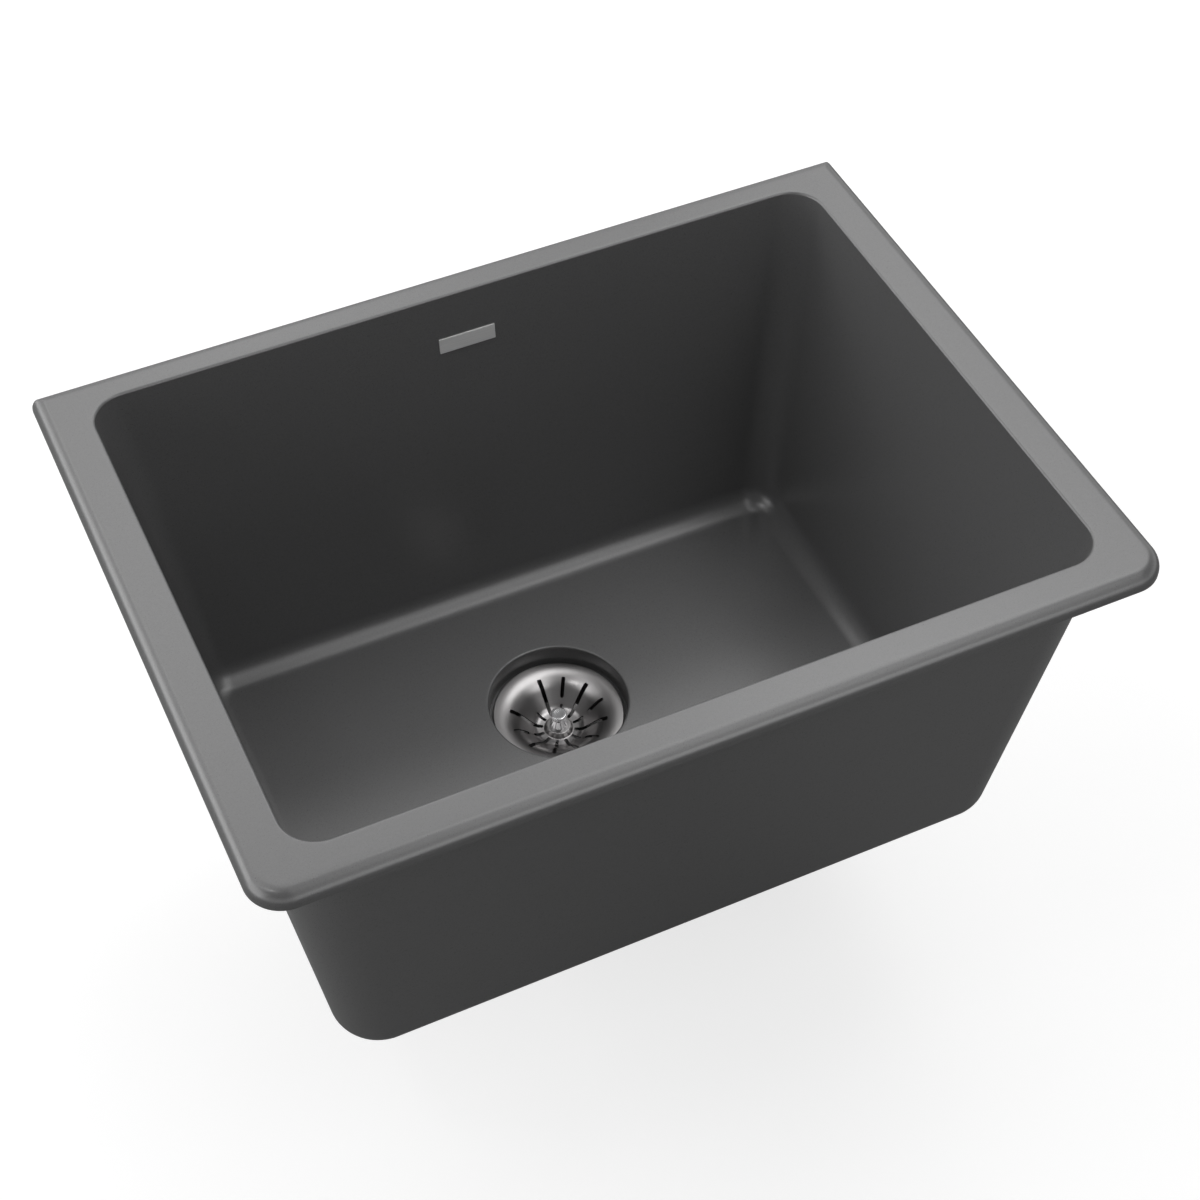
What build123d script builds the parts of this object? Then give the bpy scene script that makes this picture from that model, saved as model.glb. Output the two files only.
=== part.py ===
"""Undermount quartz composite kitchen sink with its basket strainer drain."""
from build123d import *
import os
from math import radians, tan

os.makedirs("parts", exist_ok=True)

# Driving dimensions in millimetres and degrees.
# The origin is the centre of the rim's top face: X runs right, Y to the back, Z up.

# Rim
RIM_LENGTH = 635.0
RIM_WIDTH = 470.0
RIM_SIDE = 33.55
RIM_FRONT = 30.3
RIM_BACK = 24.9
RIM_EDGE = 13.0
RIM_ROUND = 5.5
RIM_LOWER_ROUND = 1.2
FRONT_CORNER_R = 25.4
REAR_CORNER_R = 6.5

# Bowl
OPENING_CORNER_R = 25.4
OPENING_ROUND = 2.0
BOWL_DEPTH = 292.3
DRAFT = 6.6
WALL = 13.8
OUTER_END_DRAFT = 7.35
OUTER_SIDE_DRAFT = 7.1
FLOOR = 7.0
FLOOR_FILLET = 19.0
BASE_FILLET = 21.0
OUTER_CORNER_TOP = 51.0
OUTER_CORNER_BASE = 34.5
LEDGE_FILLET = 4.0

# Moulded drain well
DRAIN_BACK = 43.5
RECESS_R = 54.4
RECESS_DEPTH = 19.7
RECESS_LIP = 1.5
DRAIN_BORE_R = 44.45
WELL_WALL = 10.5
WELL_LEDGE = 12.0
WELL_FILLET = 6.0
WELL_EDGE = 3.0

# Threaded inserts for the hold-down clips
INSERT_INSET = 11.5
INSERT_END_INSET = 16.0
INSERT_MIDDLE = 75.0
INSERT_R = 3.6
INSERT_LENGTH = 9.0
INSERT_BORE_R = 2.1
INSERT_FIT = 0.05
INSERT_LIP = 0.4

# Plain plate on the back wall
PLATE_LENGTH = 44.5
PLATE_HEIGHT = 12.7
PLATE_THICKNESS = 1.0
PLATE_DROP = 43.3
PLATE_EDGE = 0.25

# Strainer body
FLANGE_R = 51.7
FLANGE_BEND = 3.0
BODY_SHEET = 1.2
CUP_R = 41.6
CUP_DEPTH = 39.0
CUP_CONE = 4.0
SEAT_R = 31.0
THROAT_R = 22.0
OUTLET_LENGTH = 20.0
BODY_BEND = 2.5

# Cross bar in the throat
BAR_WIDTH = 3.2
BAR_HEIGHT = 3.0
BAR_DROP = 4.5
BAR_HUB_R = 7.5
BAR_HUB_HEIGHT = 7.0
BAR_BORE_R = 4.3
BAR_FIT = 0.05

# Seals and nuts under the bowl
FLANGE_GASKET = 1.5
UNDER_GASKET = 3.0
UNDER_GASKET_WIDTH = 13.0
FRICTION_WASHER = 1.5
SHANK_FIT = 0.1
LOCKNUT_HEIGHT = 10.0
LOCKNUT_WALL = 8.5
LUG_COUNT = 6
LUG_WIDTH = 13.0
LUG_REACH = 6.5
NUT_EDGE = 0.8

# Tailpiece and its coupling nut
TAIL_R = 19.05
TAIL_WALL = 0.9
TAIL_NECK_R = 19.25
TAIL_NECK_SHOW = 1.0
TAIL_LENGTH = 100.0
TAIL_FLANGE = 1.6
TAIL_FLANGE_INSET = 0.4
TAIL_WASHER = 2.0
COUPLING_HEIGHT = 17.0
COUPLING_SHOULDER = 3.0
COUPLING_FLATS = 56.0
COUPLING_FIT = 0.1
COUPLING_NECK_FIT = 0.2

# Strainer basket
BASKET_R = 51.7
BASKET_RISE = 1.5
BASKET_SHEET = 0.8
BASKET_EDGE_R = 1.1
SHOULDER_R = 42.5
SHOULDER_FALL = 0.3
SHOULDER_BEND = 6.0
DISH_R = 21.0
DISH_DEPTH = 13.8
DISH_BEND = 30.0
DISH_FALL = 5.0
HUB_R = 9.4
HUB_FLARE = 2.0
HUB_RISE = 4.5
HUB_BEND = 0.9

# Basket slots
SLOT_PAIRS = 6
LONG_SLOT_ANGLE = 30.0
SHORT_SLOT_ANGLE = 0.0
LONG_SLOT_OUTER = 39.0
LONG_SLOT_INNER = 12.2
LONG_SLOT_WIDE = 2.6
LONG_SLOT_NARROW = 1.6
SHORT_SLOT_OUTER = 38.5
SHORT_SLOT_MIDDLE = 25.0
SHORT_SLOT_WIDTH = 1.8
STUB_SLOT_OUTER = 21.5
STUB_SLOT_WIDTH = 1.5
BLANK_PLACE = 2

# Knob, post and stopper
KNOB_R = 6.4
KNOB_DISC = 2.2
KNOB_EDGE = 0.9
KNOB_DROP = 0.5
KNOB_WAIST_R = 4.4
KNOB_WAIST_DROP = 6.0
KNOB_FOOT_R = 6.8
KNOB_FOOT = 1.6
KNOB_WAIST_BEND = 2.2
KNOB_FOOT_EDGE = 0.45
KNOB_CROWN = 4.0
POST_R = 3.0
POST_FIT = 0.05
POST_COLLAR_R = 5.2
POST_COLLAR = 2.0
POST_TAIL_R = 2.2
POST_TIP_R = 3.2
POST_TIP = 2.0
POST_TIP_EDGE = 0.7
NUT_FLATS = 10.0
NUT_HEIGHT = 4.0
STOPPER_R = 27.0
STOPPER_THICKNESS = 4.0
STOPPER_LIP = 1.2
STOPPER_GAP = 0.3
STOPPER_PLATE_R = 19.0
STOPPER_PLATE = 1.0
CLIP_R = 6.0
CLIP_THICKNESS = 1.0
CLIP_GROOVE = 0.6
CLIP_GAP = 3.0
SPRING_R = 3.9
SPRING_SHEET = 0.35
SPRING_LENGTH = 8.0
SPRING_SLITS = 4
SPRING_SLIT = 0.8
SPRING_SLIT_LENGTH = 5.6
SPRING_SLIT_ANGLE = 45.0

# The opening follows from the rim's widths
opening_length = RIM_LENGTH - 2 * RIM_SIDE
opening_width = RIM_WIDTH - RIM_FRONT - RIM_BACK
opening_y = (RIM_FRONT - RIM_BACK) / 2
drain_y = opening_y + DRAIN_BACK

# Levels that follow from the stack
floor_z = -BOWL_DEPTH
base_z = floor_z - FLOOR
ledge_z = floor_z - RECESS_DEPTH
well_z = ledge_z - WELL_LEDGE
flange_z = ledge_z + FLANGE_GASKET + BODY_SHEET
seat_z = flange_z - CUP_DEPTH
outlet_z = seat_z - OUTLET_LENGTH
washer_z = well_z - UNDER_GASKET
locknut_z = washer_z - FRICTION_WASHER
tail_z = outlet_z - TAIL_WASHER
tail_end_z = tail_z - TAIL_LENGTH
coupling_z = tail_z - TAIL_FLANGE - COUPLING_SHOULDER
basket_z = flange_z + BASKET_RISE
dish_z = basket_z - DISH_DEPTH
hub_z = dish_z - DISH_FALL + HUB_RISE
knob_z = basket_z - KNOB_DROP
stopper_z = seat_z + STOPPER_GAP
plate_top_z = stopper_z + STOPPER_THICKNESS
collar_z = plate_top_z + STOPPER_PLATE
bar_z = seat_z - BAR_DROP
spring_z = bar_z - SPRING_LENGTH / 2 + (BAR_HUB_HEIGHT - BAR_HEIGHT) / 2
shank_r = CUP_R + BODY_SHEET
outlet_r = THROAT_R + BODY_SHEET
wall_slope = tan(radians(DRAFT))

# Everything on the drain turns about this axis
DRAIN = Pos(0, drain_y, 0)


def ring(inner_r, outer_r, low_z, high_z):
    """Flat ring about the drain axis."""
    return Pos(0, 0, low_z) * extrude(Circle(outer_r) - Circle(inner_r), high_z - low_z)


def rod(radius, low_z, high_z):
    """Round bar about the drain axis."""
    return Pos(0, 0, low_z) * extrude(Circle(radius), high_z - low_z)


def turned(points, radii):
    """Solid of revolution from a closed section of (radius, height) points."""
    outline = FilletPolyline(*points, radius=radii, close=True)
    return revolve(Plane.XZ * make_face(outline), Axis.Z)


def pressed(points, radii, thickness):
    """Pressed sheet of revolution: the points run inwards along its upper side."""
    path = FilletPolyline(*points, radius=radii)
    section = make_face(offset(path, thickness, side=Side.LEFT))
    return revolve(Plane.XZ * section, Axis.Z)


def save(shape, node):
    """Write one piece in its own file."""
    export_step(shape, f"parts/{node}.step")


def drafted_block(length, width, end_draft, side_draft, top, base):
    """Block whose plan, sized at the rim's level, draws in with depth by its draft angles.

    top and base are each a level and the corner radius there.
    """
    sections = []
    for level, corner_r in (base, top):
        ends_in = -2 * level * tan(radians(end_draft))
        sides_in = -2 * level * tan(radians(side_draft))
        outline = RectangleRounded(length - ends_in, width - sides_in, corner_r)
        sections.append(Pos(0, opening_y, level) * outline)
    return loft(sections, ruled=True)


def level_faces(shape, level):
    """Faces of a shape that lie flat at one height."""
    return shape.faces().filter_by(Plane.XY).filter_by(lambda face: abs(face.center().Z - level) < 1e-4)


def make_rim():
    outline = Rectangle(RIM_LENGTH, RIM_WIDTH)
    outline = fillet(outline.vertices().group_by(Axis.Y)[0], FRONT_CORNER_R)
    outline = fillet(outline.vertices().group_by(Axis.Y)[-1], REAR_CORNER_R)
    return extrude(outline, -RIM_EDGE)


def make_bowl():
    cavity = drafted_block(
        opening_length,
        opening_width,
        DRAFT,
        DRAFT,
        (0, OPENING_CORNER_R),
        (floor_z, OPENING_CORNER_R),
    )
    cavity = fillet(cavity.edges().group_by(Axis.Z)[0], FLOOR_FILLET)
    shell = drafted_block(
        opening_length + 2 * WALL,
        opening_width + 2 * WALL,
        OUTER_END_DRAFT,
        OUTER_SIDE_DRAFT,
        (-RIM_EDGE / 2, OUTER_CORNER_TOP),
        (base_z, OUTER_CORNER_BASE),
    )
    shell = fillet(shell.edges().group_by(Axis.Z)[0], BASE_FILLET)
    bowl = make_rim() + shell - cavity

    # Round the rim's edges, above and below
    top = level_faces(bowl, 0)[0]
    bowl = fillet(top.outer_wire().edges(), RIM_ROUND)
    top = level_faces(bowl, 0)[0]
    bowl = fillet(top.inner_wires()[0].edges(), OPENING_ROUND)
    under = level_faces(bowl, -RIM_EDGE)[0]
    bowl = fillet(under.outer_wire().edges(), RIM_LOWER_ROUND)
    under = level_faces(bowl, -RIM_EDGE)[0]
    bowl = fillet(under.inner_wires()[0].edges(), LEDGE_FILLET)

    # Drain well, its recess and its bore
    well_r = RECESS_R + WELL_WALL
    well = DRAIN * rod(well_r, well_z, floor_z - FLOOR / 2)
    well = fillet(well.edges().group_by(Axis.Z)[0], WELL_EDGE)
    bowl += well
    root = bowl.edges().filter_by(GeomType.CIRCLE).filter_by(
        lambda edge: abs(edge.radius - well_r) < 1e-3 and abs(edge.center().Z - base_z) < 1e-3
    )
    bowl = fillet(root, WELL_FILLET)
    bowl -= DRAIN * rod(RECESS_R, ledge_z, floor_z + FLOOR)
    bowl -= DRAIN * rod(DRAIN_BORE_R, well_z - WELL_LEDGE, ledge_z + FLANGE_GASKET)
    lip = level_faces(bowl, floor_z)[0].inner_wires()[0].edges()
    bowl = fillet(lip, RECESS_LIP)

    # Blind holes for the inserts in the rim's underside
    hole = extrude(Circle(INSERT_R + INSERT_FIT), INSERT_LENGTH)
    bowl -= [place * hole for place in insert_places()]
    return bowl


def insert_places():
    """Where each insert's mouth lies on the rim's underside."""
    side_x = RIM_LENGTH / 2 - INSERT_INSET
    corner_y = RIM_WIDTH / 2 - INSERT_END_INSET
    return [
        Pos(x, y, -RIM_EDGE)
        for x in (-side_x, side_x)
        for y in (-corner_y, -INSERT_MIDDLE, INSERT_MIDDLE, corner_y)
    ]


def make_inserts():
    insert = extrude(Circle(INSERT_R) - Circle(INSERT_BORE_R), INSERT_LENGTH - INSERT_FIT)
    mouth = insert.edges().group_by(Axis.Z)[0].sort_by(SortBy.RADIUS)[0]
    insert = chamfer(mouth, INSERT_LIP)
    return Compound([place * insert for place in insert_places()])


def make_name_plate():
    wall_y = opening_y + opening_width / 2 - PLATE_DROP * wall_slope
    into_bowl = Vector(0, -1, wall_slope).normalized()
    wall = Plane(origin=(0, wall_y, -PLATE_DROP), x_dir=(-1, 0, 0), z_dir=into_bowl)
    plate = extrude(Rectangle(PLATE_LENGTH, PLATE_HEIGHT), PLATE_THICKNESS)
    plate = chamfer(plate.edges().group_by(Axis.Z)[-1], PLATE_EDGE)
    return wall * plate


def make_strainer_body():
    points = [
        (FLANGE_R, flange_z),
        (CUP_R, flange_z),
        (CUP_R, seat_z + CUP_CONE),
        (SEAT_R, seat_z),
        (THROAT_R, seat_z),
        (THROAT_R, outlet_z),
    ]
    return pressed(points, [FLANGE_BEND, BODY_BEND, BODY_BEND, BODY_BEND], BODY_SHEET)


def make_cross_bar():
    reach = 2 * (THROAT_R - BAR_FIT)
    arms = Rectangle(reach, BAR_WIDTH) + Rectangle(BAR_WIDTH, reach)
    arms = arms & Circle(THROAT_R - BAR_FIT)
    bar = Pos(0, 0, bar_z - BAR_HEIGHT) * extrude(arms, BAR_HEIGHT)
    hub_low = bar_z - BAR_HEIGHT / 2 - BAR_HUB_HEIGHT / 2
    bar += rod(BAR_HUB_R, hub_low, hub_low + BAR_HUB_HEIGHT)
    return bar - rod(BAR_BORE_R, hub_low, hub_low + BAR_HUB_HEIGHT)


def make_locknut():
    inner_r = shank_r + SHANK_FIT
    outer_r = inner_r + LOCKNUT_WALL
    lug = Pos(outer_r, 0) * Rectangle(2 * LUG_REACH, LUG_WIDTH)
    outline = Circle(outer_r) + [place * lug for place in PolarLocations(0, LUG_COUNT)]
    nut = extrude(outline, LOCKNUT_HEIGHT)
    nut = chamfer(nut.edges().group_by(Axis.Z)[0], NUT_EDGE)
    nut -= extrude(Circle(inner_r), LOCKNUT_HEIGHT)
    return Pos(0, 0, locknut_z - LOCKNUT_HEIGHT) * nut


def make_tailpiece():
    points = [
        (TAIL_R - TAIL_WALL, tail_z),
        (outlet_r - TAIL_FLANGE_INSET, tail_z),
        (outlet_r - TAIL_FLANGE_INSET, tail_z - TAIL_FLANGE),
        (TAIL_NECK_R, tail_z - TAIL_FLANGE),
        (TAIL_NECK_R, coupling_z - TAIL_NECK_SHOW),
        (TAIL_R, coupling_z - TAIL_NECK_SHOW),
        (TAIL_R, tail_end_z),
        (TAIL_R - TAIL_WALL, tail_end_z),
    ]
    return turned(points, 0)


def make_coupling_nut():
    hexagon = extrude(RegularPolygon(COUPLING_FLATS / 2, 6, major_radius=False), COUPLING_HEIGHT)
    nut = chamfer(hexagon.edges().group_by(Axis.Z)[0] + hexagon.edges().group_by(Axis.Z)[-1], NUT_EDGE)
    nut = Pos(0, 0, coupling_z) * nut
    shoulder_z = coupling_z + COUPLING_SHOULDER
    nut -= rod(outlet_r + COUPLING_FIT, shoulder_z, coupling_z + COUPLING_HEIGHT)
    return nut - rod(TAIL_NECK_R + COUPLING_NECK_FIT, coupling_z, shoulder_z)


def slot_outline(inner_r, outer_r, inner_width, outer_width):
    """Radial slot with round ends, from one radius to the other."""
    near = Pos(inner_r + inner_width / 2, 0) * Circle(inner_width / 2)
    far = Pos(outer_r - outer_width / 2, 0) * Circle(outer_width / 2)
    return make_hull(near.edges() + far.edges())


def make_basket_cup():
    points = [
        (BASKET_R, flange_z),
        (BASKET_R, basket_z),
        (SHOULDER_R, basket_z - SHOULDER_FALL),
        (DISH_R, dish_z),
        (HUB_R + HUB_FLARE, dish_z - DISH_FALL),
        (HUB_R, hub_z),
        (POST_R + POST_FIT, hub_z),
    ]
    bends = [BASKET_EDGE_R, SHOULDER_BEND, DISH_BEND, HUB_BEND, HUB_BEND]
    cup = pressed(points, bends, BASKET_SHEET)

    long_slot = slot_outline(LONG_SLOT_INNER, LONG_SLOT_OUTER, LONG_SLOT_NARROW, LONG_SLOT_WIDE)
    short_slot = slot_outline(SHORT_SLOT_MIDDLE, SHORT_SLOT_OUTER, SHORT_SLOT_WIDTH, SHORT_SLOT_WIDTH)
    stub_slot = slot_outline(LONG_SLOT_INNER, STUB_SLOT_OUTER, STUB_SLOT_WIDTH, STUB_SLOT_WIDTH)
    long_places = PolarLocations(0, SLOT_PAIRS, LONG_SLOT_ANGLE)
    short_places = PolarLocations(0, SLOT_PAIRS, SHORT_SLOT_ANGLE)
    slots = [place * long_slot for place in long_places]
    slots += [place * stub_slot for place in short_places]
    slots += [place * short_slot for index, place in enumerate(short_places) if index != BLANK_PLACE]
    low_z = dish_z - DISH_FALL - 2 * BASKET_SHEET
    punch = extrude(Sketch() + slots, basket_z - low_z)
    return cup - Pos(0, 0, low_z) * punch


def make_knob():
    waist_z = knob_z - KNOB_WAIST_DROP
    points = [
        (0, knob_z),
        (KNOB_R, knob_z),
        (KNOB_R, knob_z - KNOB_DISC),
        (KNOB_WAIST_R, waist_z),
        (KNOB_FOOT_R, hub_z + KNOB_FOOT),
        (KNOB_FOOT_R, hub_z),
        (0, hub_z),
    ]
    knob = turned(points, [0, KNOB_EDGE, KNOB_EDGE, KNOB_WAIST_BEND, KNOB_FOOT_EDGE, 0, 0])
    return knob - rod(POST_R + POST_FIT, hub_z, knob_z - KNOB_CROWN)


def make_post():
    clip_z = stopper_z - CLIP_THICKNESS
    spring_low = spring_z - SPRING_LENGTH / 2
    spring_high = spring_z + SPRING_LENGTH / 2
    post = rod(POST_R, spring_high, knob_z - KNOB_CROWN)
    post += rod(POST_COLLAR_R, collar_z, collar_z + POST_COLLAR)
    post += rod(POST_TAIL_R, spring_low, spring_high)
    post += rod(POST_TIP_R, spring_low - POST_TIP, spring_low)
    post = chamfer(post.edges().group_by(Axis.Z)[0], POST_TIP_EDGE)
    return post - ring(POST_R - CLIP_GROOVE, 2 * POST_R, clip_z, stopper_z)


def make_post_nut():
    nut = extrude(RegularPolygon(NUT_FLATS / 2, 6, major_radius=False), -NUT_HEIGHT)
    nut -= extrude(Circle(POST_R + POST_FIT), -NUT_HEIGHT)
    return Pos(0, 0, hub_z - BASKET_SHEET) * nut


def make_stopper():
    hole_r = POST_R + POST_FIT
    points = [
        (hole_r, stopper_z),
        (STOPPER_R - STOPPER_THICKNESS / 2, stopper_z),
        (STOPPER_R, stopper_z + STOPPER_LIP),
        (STOPPER_R, stopper_z + STOPPER_THICKNESS - STOPPER_LIP),
        (STOPPER_R - STOPPER_THICKNESS / 2, plate_top_z),
        (hole_r, plate_top_z),
    ]
    return turned(points, 0)


def make_clip():
    inner_r = POST_R - CLIP_GROOVE + POST_FIT
    outline = Circle(CLIP_R) - Circle(inner_r) - Pos(CLIP_R, 0) * Rectangle(2 * CLIP_R, CLIP_GAP)
    return Pos(0, 0, stopper_z - CLIP_THICKNESS) * extrude(outline, CLIP_THICKNESS)


def make_spring():
    low_z = spring_z - SPRING_LENGTH / 2
    high_z = spring_z + SPRING_LENGTH / 2
    end_r = POST_TAIL_R + POST_FIT + SPRING_SHEET
    bow = ThreePointArc((end_r, low_z), (SPRING_R, spring_z), (end_r, high_z))
    back = ThreePointArc(
        (end_r - SPRING_SHEET, high_z),
        (SPRING_R - SPRING_SHEET, spring_z),
        (end_r - SPRING_SHEET, low_z),
    )
    section = make_face(bow + Line(bow @ 1, back @ 0) + back + Line(back @ 1, bow @ 0))
    sleeve = revolve(Plane.XZ * section, Axis.Z)
    slit = Pos(SPRING_R, 0, spring_z) * Box(2 * SPRING_R, SPRING_SLIT, SPRING_SLIT_LENGTH)
    return sleeve - [place * slit for place in PolarLocations(0, SPRING_SLITS, SPRING_SLIT_ANGLE)]


def main():
    shank_fit_r = shank_r + SHANK_FIT
    pad_r = shank_fit_r + UNDER_GASKET_WIDTH
    plate_hole_r = POST_R + POST_FIT
    save(make_bowl(), "sink_bowl")
    save(make_inserts(), "rim_inserts")
    save(make_name_plate(), "name_plate")
    save(DRAIN * make_strainer_body(), "strainer_body")
    save(DRAIN * make_cross_bar(), "cross_bar")
    save(DRAIN * ring(shank_r + FLANGE_BEND, FLANGE_R, ledge_z, ledge_z + FLANGE_GASKET), "flange_gasket")
    save(DRAIN * ring(shank_fit_r, pad_r, washer_z, well_z), "under_gasket")
    save(DRAIN * ring(shank_fit_r, pad_r, locknut_z, washer_z), "friction_washer")
    save(DRAIN * make_locknut(), "locknut")
    save(DRAIN * ring(TAIL_R - TAIL_WALL, outlet_r, tail_z, outlet_z), "tailpiece_washer")
    save(DRAIN * make_tailpiece(), "tailpiece")
    save(DRAIN * make_coupling_nut(), "coupling_nut")
    save(DRAIN * make_basket_cup(), "basket_cup")
    save(DRAIN * make_knob(), "basket_knob")
    save(DRAIN * make_post(), "basket_post")
    save(DRAIN * make_post_nut(), "post_nut")
    save(DRAIN * make_stopper(), "stopper_disc")
    save(DRAIN * ring(plate_hole_r, STOPPER_PLATE_R, plate_top_z, collar_z), "stopper_plate")
    save(DRAIN * make_clip(), "post_clip")
    save(DRAIN * make_spring(), "post_spring")


main()
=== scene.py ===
"""Looks of an undermount quartz composite kitchen sink and the basket strainer in its floor.

Each operator makes one piece, or a group of like pieces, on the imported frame. Sizes are in metres.
"""
import math

import bmesh
import bpy
from bpy.props import FloatProperty, FloatVectorProperty, IntProperty, PointerProperty
from mathutils import Euler, Matrix, Vector


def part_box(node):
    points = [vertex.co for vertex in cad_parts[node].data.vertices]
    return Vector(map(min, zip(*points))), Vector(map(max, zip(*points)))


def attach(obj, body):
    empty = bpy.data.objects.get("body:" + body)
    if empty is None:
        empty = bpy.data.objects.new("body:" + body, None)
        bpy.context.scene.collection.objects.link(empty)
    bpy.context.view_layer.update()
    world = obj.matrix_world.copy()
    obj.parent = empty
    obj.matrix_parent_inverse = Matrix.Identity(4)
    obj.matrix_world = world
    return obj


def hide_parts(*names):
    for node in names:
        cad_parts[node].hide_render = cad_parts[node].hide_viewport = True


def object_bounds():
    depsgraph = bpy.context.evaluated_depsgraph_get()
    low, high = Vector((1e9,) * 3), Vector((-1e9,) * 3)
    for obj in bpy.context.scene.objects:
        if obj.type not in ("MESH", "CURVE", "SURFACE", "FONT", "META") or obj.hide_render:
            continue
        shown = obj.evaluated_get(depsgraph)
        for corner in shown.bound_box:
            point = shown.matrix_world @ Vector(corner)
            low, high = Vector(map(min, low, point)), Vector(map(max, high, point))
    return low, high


bl_info = {
    "name": "Quartz kitchen sink",
    "version": (1, 0, 0),
    "blender": (4, 5, 0),
    "location": "View3D > Sidebar > Sink",
    "description": "Makes a moulded sink bowl, its basket strainer and the fittings below it",
    "category": "Add Mesh",
}

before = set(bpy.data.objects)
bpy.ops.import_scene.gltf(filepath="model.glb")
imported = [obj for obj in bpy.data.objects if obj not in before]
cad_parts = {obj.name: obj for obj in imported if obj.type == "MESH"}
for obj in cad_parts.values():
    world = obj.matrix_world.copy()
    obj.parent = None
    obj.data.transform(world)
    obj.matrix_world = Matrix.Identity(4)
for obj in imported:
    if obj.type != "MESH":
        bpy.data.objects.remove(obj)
CAD_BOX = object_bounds()
FULL_TURN = 2 * math.pi


def half_across(node):
    """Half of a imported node's width."""
    low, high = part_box(node)
    return (high.x - low.x) / 2


# The drain axis and the levels of the stack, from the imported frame
POST_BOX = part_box("basket_post")
DRAIN = Vector(((POST_BOX[0].x + POST_BOX[1].x) / 2, (POST_BOX[0].y + POST_BOX[1].y) / 2, 0))
WELL_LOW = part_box("sink_bowl")[0].z
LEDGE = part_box("flange_gasket")[0].z
FLANGE_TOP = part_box("strainer_body")[1].z
OUTLET_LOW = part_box("strainer_body")[0].z
BASKET_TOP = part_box("basket_cup")[1].z
FLANGE_R = half_across("strainer_body")
BASKET_R = half_across("basket_cup")


def length(label, help_text, default):
    """A size in metres that a user may change."""
    return FloatProperty(name=label, description=help_text, default=default, unit="LENGTH", precision=5)


def number(label, help_text, default):
    """A plain number that a user may change."""
    return FloatProperty(name=label, description=help_text, default=default)


def whole(label, help_text, default, lowest=0):
    """A count or place that a user may change."""
    return IntProperty(name=label, description=help_text, default=default, min=lowest)


def angle(label, help_text, degrees):
    """An angle that a user may change."""
    return FloatProperty(name=label, description=help_text, default=math.radians(degrees), subtype="ANGLE")


def colour(label, help_text, default):
    """A colour that a user may change."""
    return FloatVectorProperty(
        name=label, description=help_text, default=default, subtype="COLOR", size=3, min=0, max=1
    )


class BowlSizes(bpy.types.PropertyGroup):
    """Sizes of the moulded bowl and its rim."""

    rim_length: length("Rim length", "Long side of the rim", 0.635)
    rim_width: length("Rim width", "Short side of the rim", 0.470)
    rim_side: length("Rim at the sides", "Width of the rim left and right of the opening", 0.03355)
    rim_front: length("Rim at the front", "Width of the rim in front of the opening", 0.0303)
    rim_back: length("Rim at the back", "Width of the rim behind the opening", 0.0249)
    rim_edge: length("Rim edge", "Thickness of the rim at its edge", 0.013)
    rim_round: length("Rim rounding", "Radius of the rim's upper edge", 0.01)
    rim_lower_round: length("Lower rounding", "Radius of the rim's lower edge", 0.0012)
    front_corner: length("Front corner", "Radius of the rim's front corners in plan", 0.0254)
    rear_corner: length("Rear corner", "Radius of the rim's rear corners in plan", 0.005)
    opening_corner: length("Opening corner", "Radius of the opening's corners in plan", 0.0254)
    opening_round: length("Opening rounding", "Radius of the edge round the opening", 0.002)
    depth: length("Depth", "From the rim to the floor", 0.2923)
    draft: angle("Draft", "Lean of the inner walls", 6.6)
    wall: length("Wall", "Thickness of the wall at the rim", 0.0138)
    end_draft: angle("End draft", "Lean of the outer walls left and right", 7.35)
    side_draft: angle("Side draft", "Lean of the outer walls front and back", 7.1)
    floor: length("Floor", "Thickness of the floor", 0.007)
    floor_fillet: length("Floor fillet", "Radius between the floor and the walls", 0.019)
    base_fillet: length("Base fillet", "Radius of the outer lower edge", 0.021)
    outer_corner_top: length("Outer corner, top", "Radius of the outer corners under the rim", 0.051)
    outer_corner_base: length("Outer corner, base", "Radius of the outer corners at the base", 0.0345)
    ledge_fillet: length("Ledge fillet", "Radius between the rim's underside and the walls", 0.004)
    recess_r: length("Recess radius", "Radius of the moulded drain recess", 0.0544)
    recess_lip: length("Recess lip", "Rounding where the floor meets the recess", 0.0015)
    bore_r: length("Bore radius", "Radius of the hole through the well", 0.04445)
    well_wall: length("Well wall", "Thickness of the wall round the recess", 0.0105)
    well_fillet: length("Well fillet", "Radius where the well meets the base", 0.006)
    well_edge: length("Well edge", "Rounding of the well's lower edge", 0.003)
    insert_inset: length("Insert inset", "From the rim's sides to the inserts", 0.0115)
    insert_end_inset: length("Insert end inset", "From the rim's front to the corner inserts", 0.016)
    insert_middle: length("Insert middle", "From the centre line to the middle inserts", 0.075)
    insert_r: length("Insert radius", "Outer radius of a threaded insert", 0.0036)
    insert_bore_r: length("Insert bore", "Radius of the insert's bore", 0.0021)
    insert_length: length("Insert length", "Depth of the insert's hole", 0.009)
    plate_length: length("Plate length", "Long side of the plate on the back wall", 0.0445)
    plate_height: length("Plate height", "Short side of the plate", 0.0127)
    plate_thickness: length("Plate thickness", "How far the plate stands off the wall", 0.001)
    plate_drop: length("Plate drop", "From the rim down to the plate's middle", 0.0433)
    plate_edge: length("Plate edge", "Width of the plate's bevel", 0.00045)


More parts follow.
